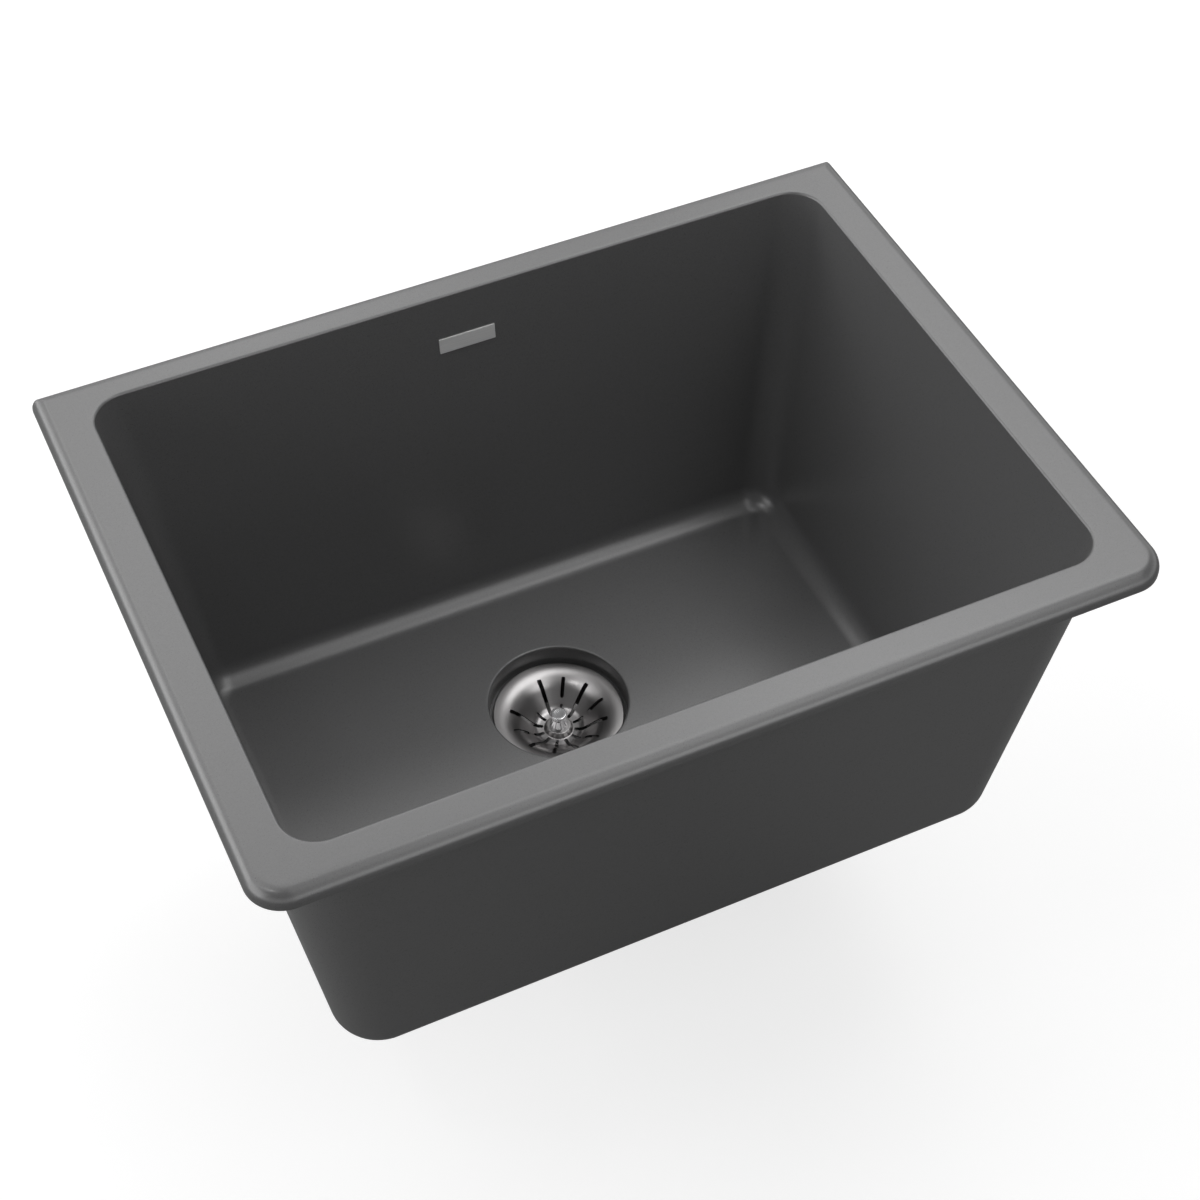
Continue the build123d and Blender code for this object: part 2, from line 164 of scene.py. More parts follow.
class DrainSizes(bpy.types.PropertyGroup):
    """Sizes of the strainer body and the fittings below the bowl."""

    sheet: length("Sheet", "Thickness of the strainer body's sheet", 0.0012)
    flange_bend: length("Flange bend", "Bend between the flange and the cup", 0.003)
    cup_r: length("Cup radius", "Inner radius of the strainer's cup", 0.0416)
    cup_depth: length("Cup depth", "From the flange to the stopper's seat", 0.039)
    cup_cone: length("Cup cone", "Height of the slope above the seat", 0.004)
    seat_r: length("Seat radius", "Radius where the slope meets the seat", 0.031)
    throat_r: length("Throat radius", "Inner radius of the outlet", 0.022)
    body_bend: length("Body bend", "Bends in the strainer body", 0.0025)
    thread_pitch: length("Thread pitch", "Pitch of the rolled threads", 0.0021)
    thread_depth: length("Thread depth", "Height of a thread's ridge", 0.0005)
    thread_clear: length("Thread clearance", "Gap between a nut and the threads beside it", 0.0003)
    lug_count: whole("Lugs", "Lugs round the locknut", 6, 3)
    lug_width: length("Lug width", "Width of a lug on the locknut", 0.013)
    lug_reach: length("Lug reach", "How far a lug stands out", 0.0065)
    locknut_wall: length("Locknut wall", "Width of the locknut's ring", 0.0085)
    nut_edge: length("Nut edge", "Bevel on the nuts", 0.0008)
    shank_fit: length("Shank fit", "Gap between the shank and the rings on it", 0.0001)
    coupling_flats: length("Coupling nut flats", "Width across the coupling nut's flats", 0.056)
    coupling_corner: length("Coupling nut corner", "Rounding of the coupling nut's corners", 0.0022)
    coupling_shoulder: length("Coupling shoulder", "Thickness of the coupling nut's shoulder", 0.003)
    tail_r: length("Tail radius", "Outer radius of the tailpiece", 0.01905)
    tail_neck_r: length("Tail neck radius", "Outer radius of the tailpiece inside its nut", 0.01925)
    tail_wall: length("Tail wall", "Thickness of the tailpiece", 0.0009)
    tail_flange: length("Tail flange", "Thickness of the tailpiece's flange", 0.0016)
    bar_width: length("Bar width", "Width of the cross bar's arms", 0.0032)
    bar_height: length("Bar height", "Height of the cross bar's arms", 0.003)
    bar_hub_r: length("Bar hub", "Radius of the cross bar's hub", 0.0075)
    bar_bore_r: length("Bar bore", "Radius of the hub's bore", 0.0043)
    ring_edge: length("Ring edge", "Rounding on gaskets and washers", 0.0004)


class BasketSizes(bpy.types.PropertyGroup):
    """Sizes of the strainer basket, its knob, post and stopper."""

    sheet: length("Sheet", "Thickness of the basket's sheet", 0.0008)
    edge_r: length("Edge", "Bend at the basket's rim", 0.0011)
    shoulder_r: length("Shoulder radius", "Where the ring and the slope would meet", 0.0374)
    shoulder_fall: length("Shoulder fall", "Fall of the ring to its shoulder", 0.0002)
    shoulder_bend: length("Shoulder bend", "Bend at the shoulder", 0.026)
    dish_r: length("Dish radius", "Where the dish's slope meets its bottom", 0.0185)
    dish_depth: length("Dish depth", "Depth of the dish there", 0.0183)
    dish_bend: length("Dish bend", "Bend between the slope and the bottom", 0.009)
    dish_fall: length("Dish fall", "Further fall of the dish to its hub", 0.0005)
    hub_r: length("Hub radius", "Radius of the raised hub", 0.0094)
    hub_flare: length("Hub flare", "Spread of the hub's foot", 0.002)
    hub_rise: length("Hub rise", "Height of the hub", 0.0045)
    hub_bend: length("Hub bend", "Bends at the hub", 0.0009)
    slot_pairs: whole("Slot pairs", "Long slots round the dish", 6, 1)
    blank_place: whole("Blank place", "Short slot that is left out", 2)
    long_angle: angle("Long slot angle", "Turn of the first long slot", 30)
    long_outer: length("Long slot outer end", "Radius of the long slots' outer end", 0.039)
    long_inner: length("Long slot inner end", "Radius of the slots' inner end", 0.0122)
    long_wide: length("Long slot outer width", "Width at the outer end", 0.0038)
    long_narrow: length("Long slot inner width", "Width at the inner end", 0.0028)
    short_outer: length("Short slot outer end", "Radius of the short slots' outer end", 0.0385)
    short_middle: length("Short slot inner end", "Radius of the short slots' inner end", 0.025)
    short_width: length("Short slot width", "Width of a short slot", 0.003)
    stub_outer: length("Stub outer end", "Radius of the stub slots' outer end", 0.0215)
    stub_width: length("Stub width", "Width of a stub slot", 0.0025)
    knob_r: length("Knob radius", "Radius of the knob's head", 0.0064)
    knob_disc: length("Knob head", "Thickness of the knob's head", 0.0022)
    knob_edge: length("Knob edge", "Rounding of the knob's head", 0.0009)
    knob_waist_r: length("Knob waist", "Radius of the knob's waist", 0.0044)
    knob_waist_drop: length("Knob waist drop", "From the knob's top to its waist", 0.006)
    knob_foot_r: length("Knob foot", "Radius of the knob's foot", 0.0068)
    knob_foot: length("Knob foot height", "Height of the knob's foot", 0.0016)
    knob_crown: length("Knob crown", "Metal above the post in the knob", 0.004)
    post_r: length("Post radius", "Radius of the post", 0.003)
    post_fit: length("Post fit", "Gap round the post", 0.00005)
    post_tail_r: length("Post tail", "Radius of the post inside its spring", 0.0022)
    stopper_edge: length("Stopper edge", "Slope of the stopper's edge", 0.0012)
    rib_height: length("Stopper rib", "Height of the sealing rib under the stopper", 0.0008)


class Finishes(bpy.types.PropertyGroup):
    """Colours of the materials."""

    quartz: colour("Quartz", "Ground colour of the composite", (0.115, 0.115, 0.116))
    quartz_dark: colour("Dark grains", "Dark grains in the composite", (0.102, 0.102, 0.103))
    quartz_light: colour("Light grains", "Light grains in the composite", (0.129, 0.129, 0.13))
    steel: colour("Steel", "Spun stainless steel", (0.41, 0.40, 0.40))
    plate: colour("Plate", "Lacquered metal plate", (0.72, 0.72, 0.72))
    brass: colour("Brass", "Turned brass", (0.62, 0.45, 0.2))
    rubber: colour("Rubber", "Black rubber", (0.025, 0.025, 0.026))
    fibre: colour("Fibre", "Pressed fibre washer", (0.36, 0.25, 0.15))
    casting: colour("Casting", "Dull plated die casting", (0.5, 0.5, 0.49))
    plastic: colour("Plastic", "White sealing washer", (0.78, 0.78, 0.76))
    chrome: colour("Chrome", "Plated tube and knob", (0.7, 0.7, 0.71))


class StageSettings(bpy.types.PropertyGroup):
    """Camera, lamps and floor."""

    camera_place: FloatVectorProperty(
        name="Camera",
        description="Where the camera stands",
        default=(-0.4608, -0.9937, 1.134),
        subtype="XYZ",
    )
    camera_pitch: angle("Camera pitch", "How far the camera looks down", 48.976)
    camera_yaw: angle("Camera yaw", "How far the camera looks to the right of straight back", 24.803)
    lens: number("Lens", "Focal length in millimetres", 70.087)
    shift_x: number("Shift across", "Sideways shift of the frame", 0.0154)
    shift_y: number("Shift up", "Upward shift of the frame", 0.0004)
    floor_grey: number("Floor grey", "What the floor gives back to the part", 0.16)
    floor_glow: number("Floor glow", "How pale the floor stays in the shadow", 0.7)
    sky: number("Sky", "Even light from all round", 0.0)
    wall_top: angle("Wall top", "Elevation where the white backdrop begins to fade", 12)
    ceiling: angle("Ceiling", "Elevation where the dark ceiling begins", 35)
    ceiling_grey: number("Ceiling grey", "How bright the ceiling looks", 0.12)


class SinkSettings(bpy.types.PropertyGroup):
    """All the settings of the sink."""

    bowl: PointerProperty(type=BowlSizes)
    drain: PointerProperty(type=DrainSizes)
    basket: PointerProperty(type=BasketSizes)
    finishes: PointerProperty(type=Finishes)
    stage: PointerProperty(type=StageSettings)


# Outlines and meshes


def rounded_path(points, radii, steps=8):
    """Open path through the points, with each inner corner rounded to its radius."""
    path = [Vector(points[0])]
    for before, here, after, radius in zip(points, points[1:], points[2:], radii):
        path += rounded_corner(Vector(before), Vector(here), Vector(after), radius, steps)
    return path + [Vector(points[-1])]


def rounded_outline(points, radii, steps=6):
    """Closed outline through the points, with each corner rounded to its radius."""
    outline = []
    for place, radius in enumerate(radii):
        before = Vector(points[place - 1])
        after = Vector(points[(place + 1) % len(points)])
        outline += rounded_corner(before, Vector(points[place]), after, radius, steps)
    return outline


def rounded_corner(before, here, after, radius, steps):
    """Points of an arc that is tangent to both sides of a corner."""
    back = (before - here).normalized()
    ahead = (after - here).normalized()
    opening = back.angle(ahead)
    if radius <= 0 or opening > math.pi - 1e-4:
        return [here]
    reach = radius / math.tan(opening / 2)
    centre = here + (back + ahead).normalized() * radius / math.sin(opening / 2)
    start = here + back * reach - centre
    sweep = math.pi - opening
    if start.cross(here + ahead * reach - centre) < 0:
        sweep = -sweep
    turns = [Matrix.Rotation(sweep * step / steps, 2) for step in range(steps + 1)]
    return [centre + turn @ start for turn in turns]


def beside(path, offset):
    """Path at one distance to the left of another."""
    moved = []
    for place, point in enumerate(path):
        ahead = path[min(place + 1, len(path) - 1)]
        behind = path[max(place - 1, 0)]
        along = (ahead - behind).normalized()
        moved.append(point + Vector((-along.y, along.x)) * offset)
    return moved


def polar(radius, turn, level=0.0):
    """Point at a radius and an angle."""
    return Vector((radius * math.cos(turn), radius * math.sin(turn), level))


def ring_loops(section, count, radius_at=None, middle=DRAIN):
    """Loops about an axis through (radius, height) points.

    With radius_at the points are (inset, height), and it gives the radius at an angle and an inset.
    """
    loops = []
    for size, level in section:
        loop = []
        for step in range(count):
            turn = FULL_TURN * step / count
            radius = radius_at(turn, size) if radius_at else size
            x = middle.x + radius * math.cos(turn)
            y = middle.y + radius * math.sin(turn)
            loop.append(Vector((x, y, level)))
        loops.append(loop)
    return loops


def thread_rows(radius, depth, top, pitch, count):
    """Points of (radius, height) down a thread, from its outermost line to its innermost, turn by turn."""
    rows = []
    for thread in range(count):
        level = top - pitch * (thread + 0.5)
        rows += [(radius + depth, level), (radius, level - pitch / 2)]
    return rows


def new_object(name, mesh):
    """Object in the scene, at the origin."""
    made = bpy.data.objects.new(name, mesh)
    bpy.context.scene.collection.objects.link(made)
    return made


def loft(name, loops, closed=True):
    """Mesh through loops of equal count; closed joins the last to the first, or else the ends are capped."""
    count = len(loops[0])
    points = [point for loop in loops for point in loop]
    faces = []
    spans = len(loops) if closed else len(loops) - 1
    for row in range(spans):
        low = row * count
        high = (row + 1) % len(loops) * count
        for step in range(count):
            beyond = (step + 1) % count
            faces.append((low + step, low + beyond, high + beyond, high + step))
    if not closed:
        faces.append(tuple(range(count)))
        faces.append(tuple(range((len(loops) - 1) * count, len(loops) * count)))
    mesh = bpy.data.meshes.new(name)
    mesh.from_pydata(points, [], faces)
    tidy_mesh(mesh)
    return new_object(name, mesh)


def tidy_mesh(mesh):
    """Merge doubles, drop collapsed faces and turn every face outwards."""
    work = bmesh.new()
    work.from_mesh(mesh)
    bmesh.ops.remove_doubles(work, verts=work.verts, dist=1e-6)
    bmesh.ops.dissolve_degenerate(work, edges=work.edges, dist=1e-7)
    bmesh.ops.recalc_face_normals(work, faces=work.faces)
    work.to_mesh(mesh)
    work.free()


def lathe(name, section, count=160):
    """Closed section of (radius, height) points turned about the drain axis."""
    return loft(name, ring_loops(section, count))


def rounded_box(left, right, low, high, edge):
    """Outline of a rectangle with rounded corners."""
    return rounded_outline([(left, low), (right, low), (right, high), (left, high)], [edge] * 4, 4)


def washer(name, inner_r, outer_r, low, high, edge):
    """Flat ring with rounded edges, about the drain axis."""
    return lathe(name, rounded_box(inner_r, outer_r, low, high, edge))


def keep_result(piece, modifier):
    """Keep what a modifier makes of a piece as its mesh."""
    maker = modifier.name
    depsgraph = bpy.context.evaluated_depsgraph_get()
    mesh = bpy.data.meshes.new_from_object(piece.evaluated_get(depsgraph))
    piece.modifiers.remove(modifier)
    if not mesh.polygons:
        raise RuntimeError(f"{maker} left {piece.name} without faces")
    piece.data = mesh


def fuse(piece, other):
    """Union of two closed meshes, kept in the first."""
    modifier = piece.modifiers.new("Fuse", "BOOLEAN")
    modifier.operation = "UNION"
    modifier.object = other
    keep_result(piece, modifier)
    bpy.data.objects.remove(other)


def finish_piece(piece, material, body, node, sharp_degrees=32):
    """Smooth a finished mesh, give it its material, hang it on its body and hide the imported node it stands
    for.
    """
    mesh = piece.data
    mesh.polygons.foreach_set("use_smooth", [True] * len(mesh.polygons))
    mesh.set_sharp_from_angle(angle=math.radians(sharp_degrees))
    mesh.materials.clear()
    mesh.materials.append(MATERIALS[material])
    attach(piece, body)
    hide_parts(node)


# Node trees

FLOAT = "NodeSocketFloat"
WHOLE = "NodeSocketInt"
VECTOR = "NodeSocketVector"
COLOUR = "NodeSocketColor"


def wire(tree, node, values):
    """Set or link a node's inputs, given by name or by place."""
    for key, value in values.items():
        socket = node.inputs[key]
        if isinstance(value, bpy.types.NodeSocket):
            tree.links.new(value, socket)
        else:
            socket.default_value = value
    return node


def add_node(tree, kind, values=None, **settings):
    """New node with its settings and inputs."""
    node = tree.nodes.new(kind)
    for key, value in settings.items():
        setattr(node, key, value)
    return wire(tree, node, values or {})


def maths(tree, operation, *values):
    """Output of a math node."""
    node = add_node(tree, "ShaderNodeMath", dict(enumerate(values)), operation=operation)
    return node.outputs[0]


def shape_tree(name, inputs):
    """Geometry tree with named inputs; returns the tree and its group input."""
    tree = bpy.data.node_groups.new(name, "GeometryNodeTree")
    tree.interface.new_socket("Geometry", in_out="OUTPUT", socket_type="NodeSocketGeometry")
    tree.interface.new_socket("Geometry", in_out="INPUT", socket_type="NodeSocketGeometry")
    for label, kind in inputs:
        tree.interface.new_socket(label, in_out="INPUT", socket_type=kind)
    tree.interface.new_socket("Material", in_out="INPUT", socket_type="NodeSocketMaterial")
    return tree, tree.nodes.new("NodeGroupInput")


def close_tree(tree, source, given):
    """End a geometry tree in real geometry with its material."""
    real = add_node(tree, "GeometryNodeRealizeInstances", {"Geometry": source})
    dressed = add_node(tree, "GeometryNodeSetMaterial", {
        "Geometry": real.outputs[0],
        "Material": given.outputs["Material"],
    })
    add_node(tree, "NodeGroupOutput", {"Geometry": dressed.outputs[0]})
    return tree


def cut_away(tree, given, cutters):
    """End a geometry tree with the cutters taken out of the piece."""
    real = add_node(tree, "GeometryNodeRealizeInstances", {"Geometry": cutters})
    cut = add_node(tree, "GeometryNodeMeshBoolean", {
        0: given.outputs["Geometry"],
        1: real.outputs[0],
    }, operation="DIFFERENCE", solver="EXACT")
    return close_tree(tree, cut.outputs["Mesh"], given)


def joined(tree, *parts):
    """Several geometries as one."""
    whole = tree.nodes.new("GeometryNodeJoinGeometry")
    for part in parts:
        tree.links.new(part, whole.inputs[0])
    return whole.outputs[0]


def copies_about(tree, given, shape, first_angle):
    """Node that turns copies of a shape about the drain axis, and the copies' index."""
    count = given.outputs["Count"]
    index = tree.nodes.new("GeometryNodeInputIndex").outputs[0]
    step = maths(tree, "DIVIDE", FULL_TURN, count)
    turn = maths(tree, "MULTIPLY_ADD", index, step, first_angle)
    about_z = add_node(tree, "ShaderNodeCombineXYZ", {"Z": turn})
    points = add_node(tree, "GeometryNodePoints", {"Count": count, "Position": given.outputs["Middle"]})
    copies = add_node(tree, "GeometryNodeInstanceOnPoints", {
        "Points": points.outputs[0],
        "Instance": shape,
        "Rotation": about_z.outputs[0],
    })
    return copies, index


def apply_tree(piece, tree, values):
    """Run a geometry tree on a piece with these inputs and keep the result as its mesh."""
    modifier = piece.modifiers.new(tree.name, "NODES")
    modifier.node_group = tree
    for item in tree.interface.items_tree:
        if item.item_type == "SOCKET" and item.in_out == "INPUT" and item.name in values:
            modifier[item.identifier] = values[item.name]
    keep_result(piece, modifier)


INSERT_INPUTS = [(label, FLOAT) for label in ("Side Spacing", "Corner Spacing", "Middle Spacing", "Level")]


def insert_copies(tree, given, shape):
    """Copies of a shape at the inserts' places: two rectangles of four on the rim's underside."""
    grids = []
    for row in ("Corner Spacing", "Middle Spacing"):
        grid = add_node(tree, "GeometryNodeMeshGrid", {
            "Size X": given.outputs["Side Spacing"],
            "Size Y": given.outputs[row],
            "Vertices X": 2,
            "Vertices Y": 2,
        })
        grids.append(grid.outputs["Mesh"])
    lift = add_node(tree, "ShaderNodeCombineXYZ", {"Z": given.outputs["Level"]})
    places = add_node(tree, "GeometryNodeTransform", {
        "Geometry": joined(tree, *grids),
        "Translation": lift.outputs[0],
    })
    copies = add_node(tree, "GeometryNodeInstanceOnPoints", {
        "Points": places.outputs[0],
        "Instance": shape,
    })
    return copies.outputs[0]


def pocket_tree():
    """Cuts a blind round hole at each insert's place."""
    tree, given = shape_tree("Insert pockets", INSERT_INPUTS + [("Radius", FLOAT), ("Depth", FLOAT)])
    cutter = add_node(tree, "GeometryNodeMeshCylinder", {
        "Vertices": 48,
        "Radius": given.outputs["Radius"],
        "Depth": maths(tree, "MULTIPLY", given.outputs["Depth"], 2.0),
    })
    return cut_away(tree, given, insert_copies(tree, given, cutter.outputs["Mesh"]))


def insert_tree():
    """Sets a copy of one insert at each insert's place."""
    tree, given = shape_tree("Rim inserts", INSERT_INPUTS)
    return close_tree(tree, insert_copies(tree, given, given.outputs["Geometry"]), given)


SLOT_ROWS = ("Long", "Short", "Stub")
SLOT_MEASURES = ("Inner", "Outer", "Inner Width", "Outer Width", "Angle")


def slot_row(tree, given, label, skip=None):
    """Cutters for one row of radial slots, turned about the drain axis."""
    measures = [given.outputs[f"{label} {measure}"] for measure in SLOT_MEASURES]
    inner, outer, narrow, wide, first_angle = measures
    outline = add_node(tree, "GeometryNodeCurvePrimitiveQuadrilateral", {
        "Height": maths(tree, "SUBTRACT", outer, inner),
        "Bottom Width": narrow,
        "Top Width": wide,
        "Offset": 0.0,
    }, mode="TRAPEZOID")
    ends = add_node(tree, "GeometryNodeFilletCurve", {
        "Curve": outline.outputs[0],
        "Count": 6,
        "Radius": maths(tree, "MULTIPLY", wide, 0.5),
        "Limit Radius": True,
    }, mode="POLY")
    face = add_node(tree, "GeometryNodeFillCurve", {0: ends.outputs[0]})
    tall = add_node(tree, "GeometryNodeExtrudeMesh", {
        "Mesh": face.outputs[0],
        "Offset Scale": given.outputs["Cut Height"],
        "Individual": False,
    })
    under = add_node(tree, "GeometryNodeFlipFaces", {"Mesh": face.outputs[0]})
    block = add_node(tree, "GeometryNodeMergeByDistance", {
        "Geometry": joined(tree, tall.outputs["Mesh"], under.outputs[0]),
        "Distance": 1e-6,
    })
    middle = maths(tree, "MULTIPLY", maths(tree, "ADD", outer, inner), 0.5)
    out_along = add_node(tree, "ShaderNodeCombineXYZ", {"X": middle})
    lying = add_node(tree, "GeometryNodeTransform", {
        "Geometry": block.outputs[0],
        "Translation": out_along.outputs[0],
        "Rotation": Euler((0, 0, -math.pi / 2)),
    })
    copies, index = copies_about(tree, given, lying.outputs[0], first_angle)
    if skip is not None:
        kept = add_node(tree, "FunctionNodeCompare", data_type="INT", operation="NOT_EQUAL")
        whole_inputs = [socket for socket in kept.inputs if socket.type == "INT"]
        tree.links.new(index, whole_inputs[0])
        tree.links.new(skip, whole_inputs[1])
        tree.links.new(kept.outputs[0], copies.inputs["Selection"])
    return copies.outputs[0]


def slot_tree():
    """Cuts the basket's rows of slots."""
    inputs = [("Count", WHOLE), ("Blank Place", WHOLE), ("Cut Height", FLOAT), ("Middle", VECTOR)]
    inputs += [(f"{row} {measure}", FLOAT) for row in SLOT_ROWS for measure in SLOT_MEASURES]
    tree, given = shape_tree("Basket slots", inputs)
    cutters = []
    for row in SLOT_ROWS:
        skip = given.outputs["Blank Place"] if row == "Short" else None
        cutters.append(slot_row(tree, given, row, skip))
    return cut_away(tree, given, joined(tree, *cutters))


def thread_tree():
    """Winds a ridge round a shank and joins it to the piece."""
    inputs = [(label, FLOAT) for label in ("Radius", "Pitch", "Turns", "Depth")] + [("Start", VECTOR)]
    tree, given = shape_tree("Rolled thread", inputs)
    helix = add_node(tree, "GeometryNodeCurveSpiral", {
        "Resolution": 96,
        "Rotations": given.outputs["Turns"],
        "Start Radius": given.outputs["Radius"],
        "End Radius": given.outputs["Radius"],
        "Height": maths(tree, "MULTIPLY", given.outputs["Pitch"], given.outputs["Turns"]),
    })
    ridge = add_node(tree, "GeometryNodeCurvePrimitiveCircle", {
        "Resolution": 8,
        "Radius": given.outputs["Depth"],
    })
    wound = add_node(tree, "GeometryNodeCurveToMesh", {
        "Curve": helix.outputs[0],
        "Profile Curve": ridge.outputs[0],
        "Fill Caps": True,
    })
    placed = add_node(tree, "GeometryNodeTransform", {
        "Geometry": wound.outputs[0],
        "Translation": given.outputs["Start"],
    })
    return close_tree(tree, joined(tree, given.outputs["Geometry"], placed.outputs[0]), given)


def spoke_tree():
    """Repeats a piece about the drain axis."""
    tree, given = shape_tree("Copies about the drain", [("Count", WHOLE), ("Middle", VECTOR)])
    copies, _ = copies_about(tree, given, given.outputs["Geometry"], 0.0)
    return close_tree(tree, copies.outputs[0], given)


# Effects and materials


def ranged(tree, value, low, high):
    """Spread a 0.3 to 0.7 mask over a range."""
    node = add_node(tree, "ShaderNodeMapRange", {
        "Value": value, "From Min": 0.3, "From Max": 0.7, "To Min": low, "To Max": high,
    })
    return node.outputs[0]


def effect(name, inputs, outputs):
    """Shader node group with named inputs and outputs."""
    tree = bpy.data.node_groups.new(name, "ShaderNodeTree")
    for label, kind, default in inputs:
        socket = tree.interface.new_socket(label, in_out="INPUT", socket_type=kind)
        if default is not None:
            socket.default_value = default
    for label, kind in outputs:
        tree.interface.new_socket(label, in_out="OUTPUT", socket_type=kind)
    return tree, tree.nodes.new("NodeGroupInput"), tree.nodes.new("NodeGroupOutput")


def noise(tree, place, scale, detail):
    """Output of a noise texture."""
    node = add_node(tree, "ShaderNodeTexNoise", {"Vector": place, "Scale": scale, "Detail": detail})
    return node.outputs[0]


def blend(tree, share, first, second):
    """Mix of two colours."""
    node = add_node(tree, "ShaderNodeMix", {"Factor": share, 6: first, 7: second}, data_type="RGBA")
    return node.outputs[2]


def dimmed(tree, tone, share):
    """A colour times a number."""
    node = add_node(tree, "ShaderNodeVectorMath", {0: tone, "Scale": share}, operation="SCALE")
    return node.outputs[0]


def speckle_effect():
    """Fine mineral grains of close tones, a slow drift of the ground and a few dark specks."""
    tree, given, result = effect(
        "Mineral speckle",
        [
            ("Vector", VECTOR, None),
            ("Grain", FLOAT, 0.0009),
            ("Ground", COLOUR, None),
            ("Dark", COLOUR, None),
            ("Light", COLOUR, None),
            ("Speck Spacing", FLOAT, 0.014),
            ("Speck Size", FLOAT, 0.0004),
        ],
        [("Color", COLOUR), ("Height", FLOAT)],
    )
    place = given.outputs["Vector"]
    scale = maths(tree, "DIVIDE", 1.0, given.outputs["Grain"])
    grains = add_node(tree, "ShaderNodeTexVoronoi", {"Vector": place, "Scale": scale})
    parts = add_node(tree, "ShaderNodeSeparateColor", {0: grains.outputs["Color"]})
    grained = blend(tree, parts.outputs[0], given.outputs["Dark"], given.outputs["Light"])
    drift = ranged(tree, noise(tree, place, 14.0, 3.0), 0.3, 0.7)
    toned = blend(tree, drift, grained, given.outputs["Ground"])
    spacing = given.outputs["Speck Spacing"]
    density = maths(tree, "DIVIDE", 1.0, spacing)
    specks = add_node(tree, "ShaderNodeTexVoronoi", {"Vector": place, "Scale": density})
    off_speck = maths(tree, "MULTIPLY", specks.outputs["Distance"], spacing)
    speck = maths(tree, "LESS_THAN", off_speck, given.outputs["Speck Size"])
    specked = blend(tree, speck, toned, dimmed(tree, given.outputs["Dark"], 0.55))
    fine = noise(tree, place, maths(tree, "MULTIPLY", scale, 1.6), 2.0)
    wire(tree, result, {"Color": specked, "Height": fine})
    return tree


def spun_effect():
    """Fine lines round an axis, as turning, spinning or brushing leaves them."""
    tree, given, result = effect(
        "Spun lines",
        [("Vector", VECTOR, None), ("Line Width", FLOAT, 0.0004), ("Break Up", FLOAT, 3.0)],
        [("Lines", FLOAT), ("Smudge", FLOAT)],
    )
    parts = add_node(tree, "ShaderNodeSeparateXYZ", {0: given.outputs["Vector"]})
    flat = add_node(tree, "ShaderNodeCombineXYZ", {"X": parts.outputs["X"], "Y": parts.outputs["Y"]})
    reach = add_node(tree, "ShaderNodeVectorMath", {0: flat.outputs[0]}, operation="LENGTH")
    turn = maths(tree, "ARCTAN2", parts.outputs["Y"], parts.outputs["X"])
    width = given.outputs["Line Width"]
    across = add_node(tree, "ShaderNodeCombineXYZ", {
        "X": maths(tree, "DIVIDE", reach.outputs["Value"], width),
        "Y": maths(tree, "DIVIDE", parts.outputs["Z"], width),
        "Z": maths(tree, "MULTIPLY", turn, given.outputs["Break Up"]),
    })
    wire(tree, result, {
        "Lines": noise(tree, across.outputs[0], 1.0, 2.0),
        "Smudge": noise(tree, given.outputs["Vector"], 90.0, 3.0),
    })
    return tree


def grain_effect():
    """Soft even grain of moulded rubber, plastic, fibre and castings."""
    tree, given, result = effect(
        "Moulded grain",
        [("Vector", VECTOR, None), ("Size", FLOAT, 0.0006)],
        [("Grain", FLOAT), ("Blotch", FLOAT)],
    )
    scale = maths(tree, "DIVIDE", 1.0, given.outputs["Size"])
    wire(tree, result, {
        "Grain": noise(tree, given.outputs["Vector"], scale, 3.0),
        "Blotch": noise(tree, given.outputs["Vector"], maths(tree, "MULTIPLY", scale, 0.05), 4.0),
    })
    return tree


def blank_material(name):
    """Material with its shader, object coordinates and node tree."""
    material = bpy.data.materials.new(name)
    material.use_nodes = True
    tree = material.node_tree
    shader = tree.nodes["Principled BSDF"]
    place = tree.nodes.new("ShaderNodeTexCoord").outputs["Object"]
    return material, tree, shader, place


def shaded(tree, tone, mask, low, high):
    """A colour made darker and lighter by a mask."""
    return dimmed(tree, (*tone,), ranged(tree, mask, low, high))


def bumped(tree, height, strength, distance):
    """Normal from a height mask."""
    node = add_node(tree, "ShaderNodeBump", {"Height": height, "Strength": strength, "Distance": distance})
    return node.outputs[0]


def quartz_material(finishes, speckle_tree):
    """Matte composite of quartz grains in resin."""
    material, tree, shader, place = blank_material("quartz_composite")
    speckle = add_node(tree, "ShaderNodeGroup", {
        "Vector": place,
        "Ground": (*finishes.quartz, 1),
        "Dark": (*finishes.quartz_dark, 1),
        "Light": (*finishes.quartz_light, 1),
    }, node_tree=speckle_tree)
    wire(tree, shader, {
        "Base Color": speckle.outputs["Color"],
        "Roughness": ranged(tree, speckle.outputs["Height"], 0.33, 0.27),
        "Normal": bumped(tree, speckle.outputs["Height"], 0.1, 0.00008),
        "Specular IOR Level": 1.0,
    })
    return material


# Painted shade: faces marked with this attribute, the slots' side walls, are darkened in colour to stand in
# for the shade inside the slots.
SLOT_SHADE_MARK = "slot_painted_shade"
SLOT_PAINTED_SHADE = 0.1


def mark_slot_shade_faces(piece):
    """Mark the faces that look round the drain axis, the slots' side walls, which get painted shade."""
    mark = piece.data.attributes.new(SLOT_SHADE_MARK, "FLOAT", "FACE")
    for face, value in zip(piece.data.polygons, mark.data):
        out = face.center - DRAIN
        around = Vector((-out.y, out.x, 0)).normalized()
        value.value = float(abs(face.normal.dot(around)) > 0.5)


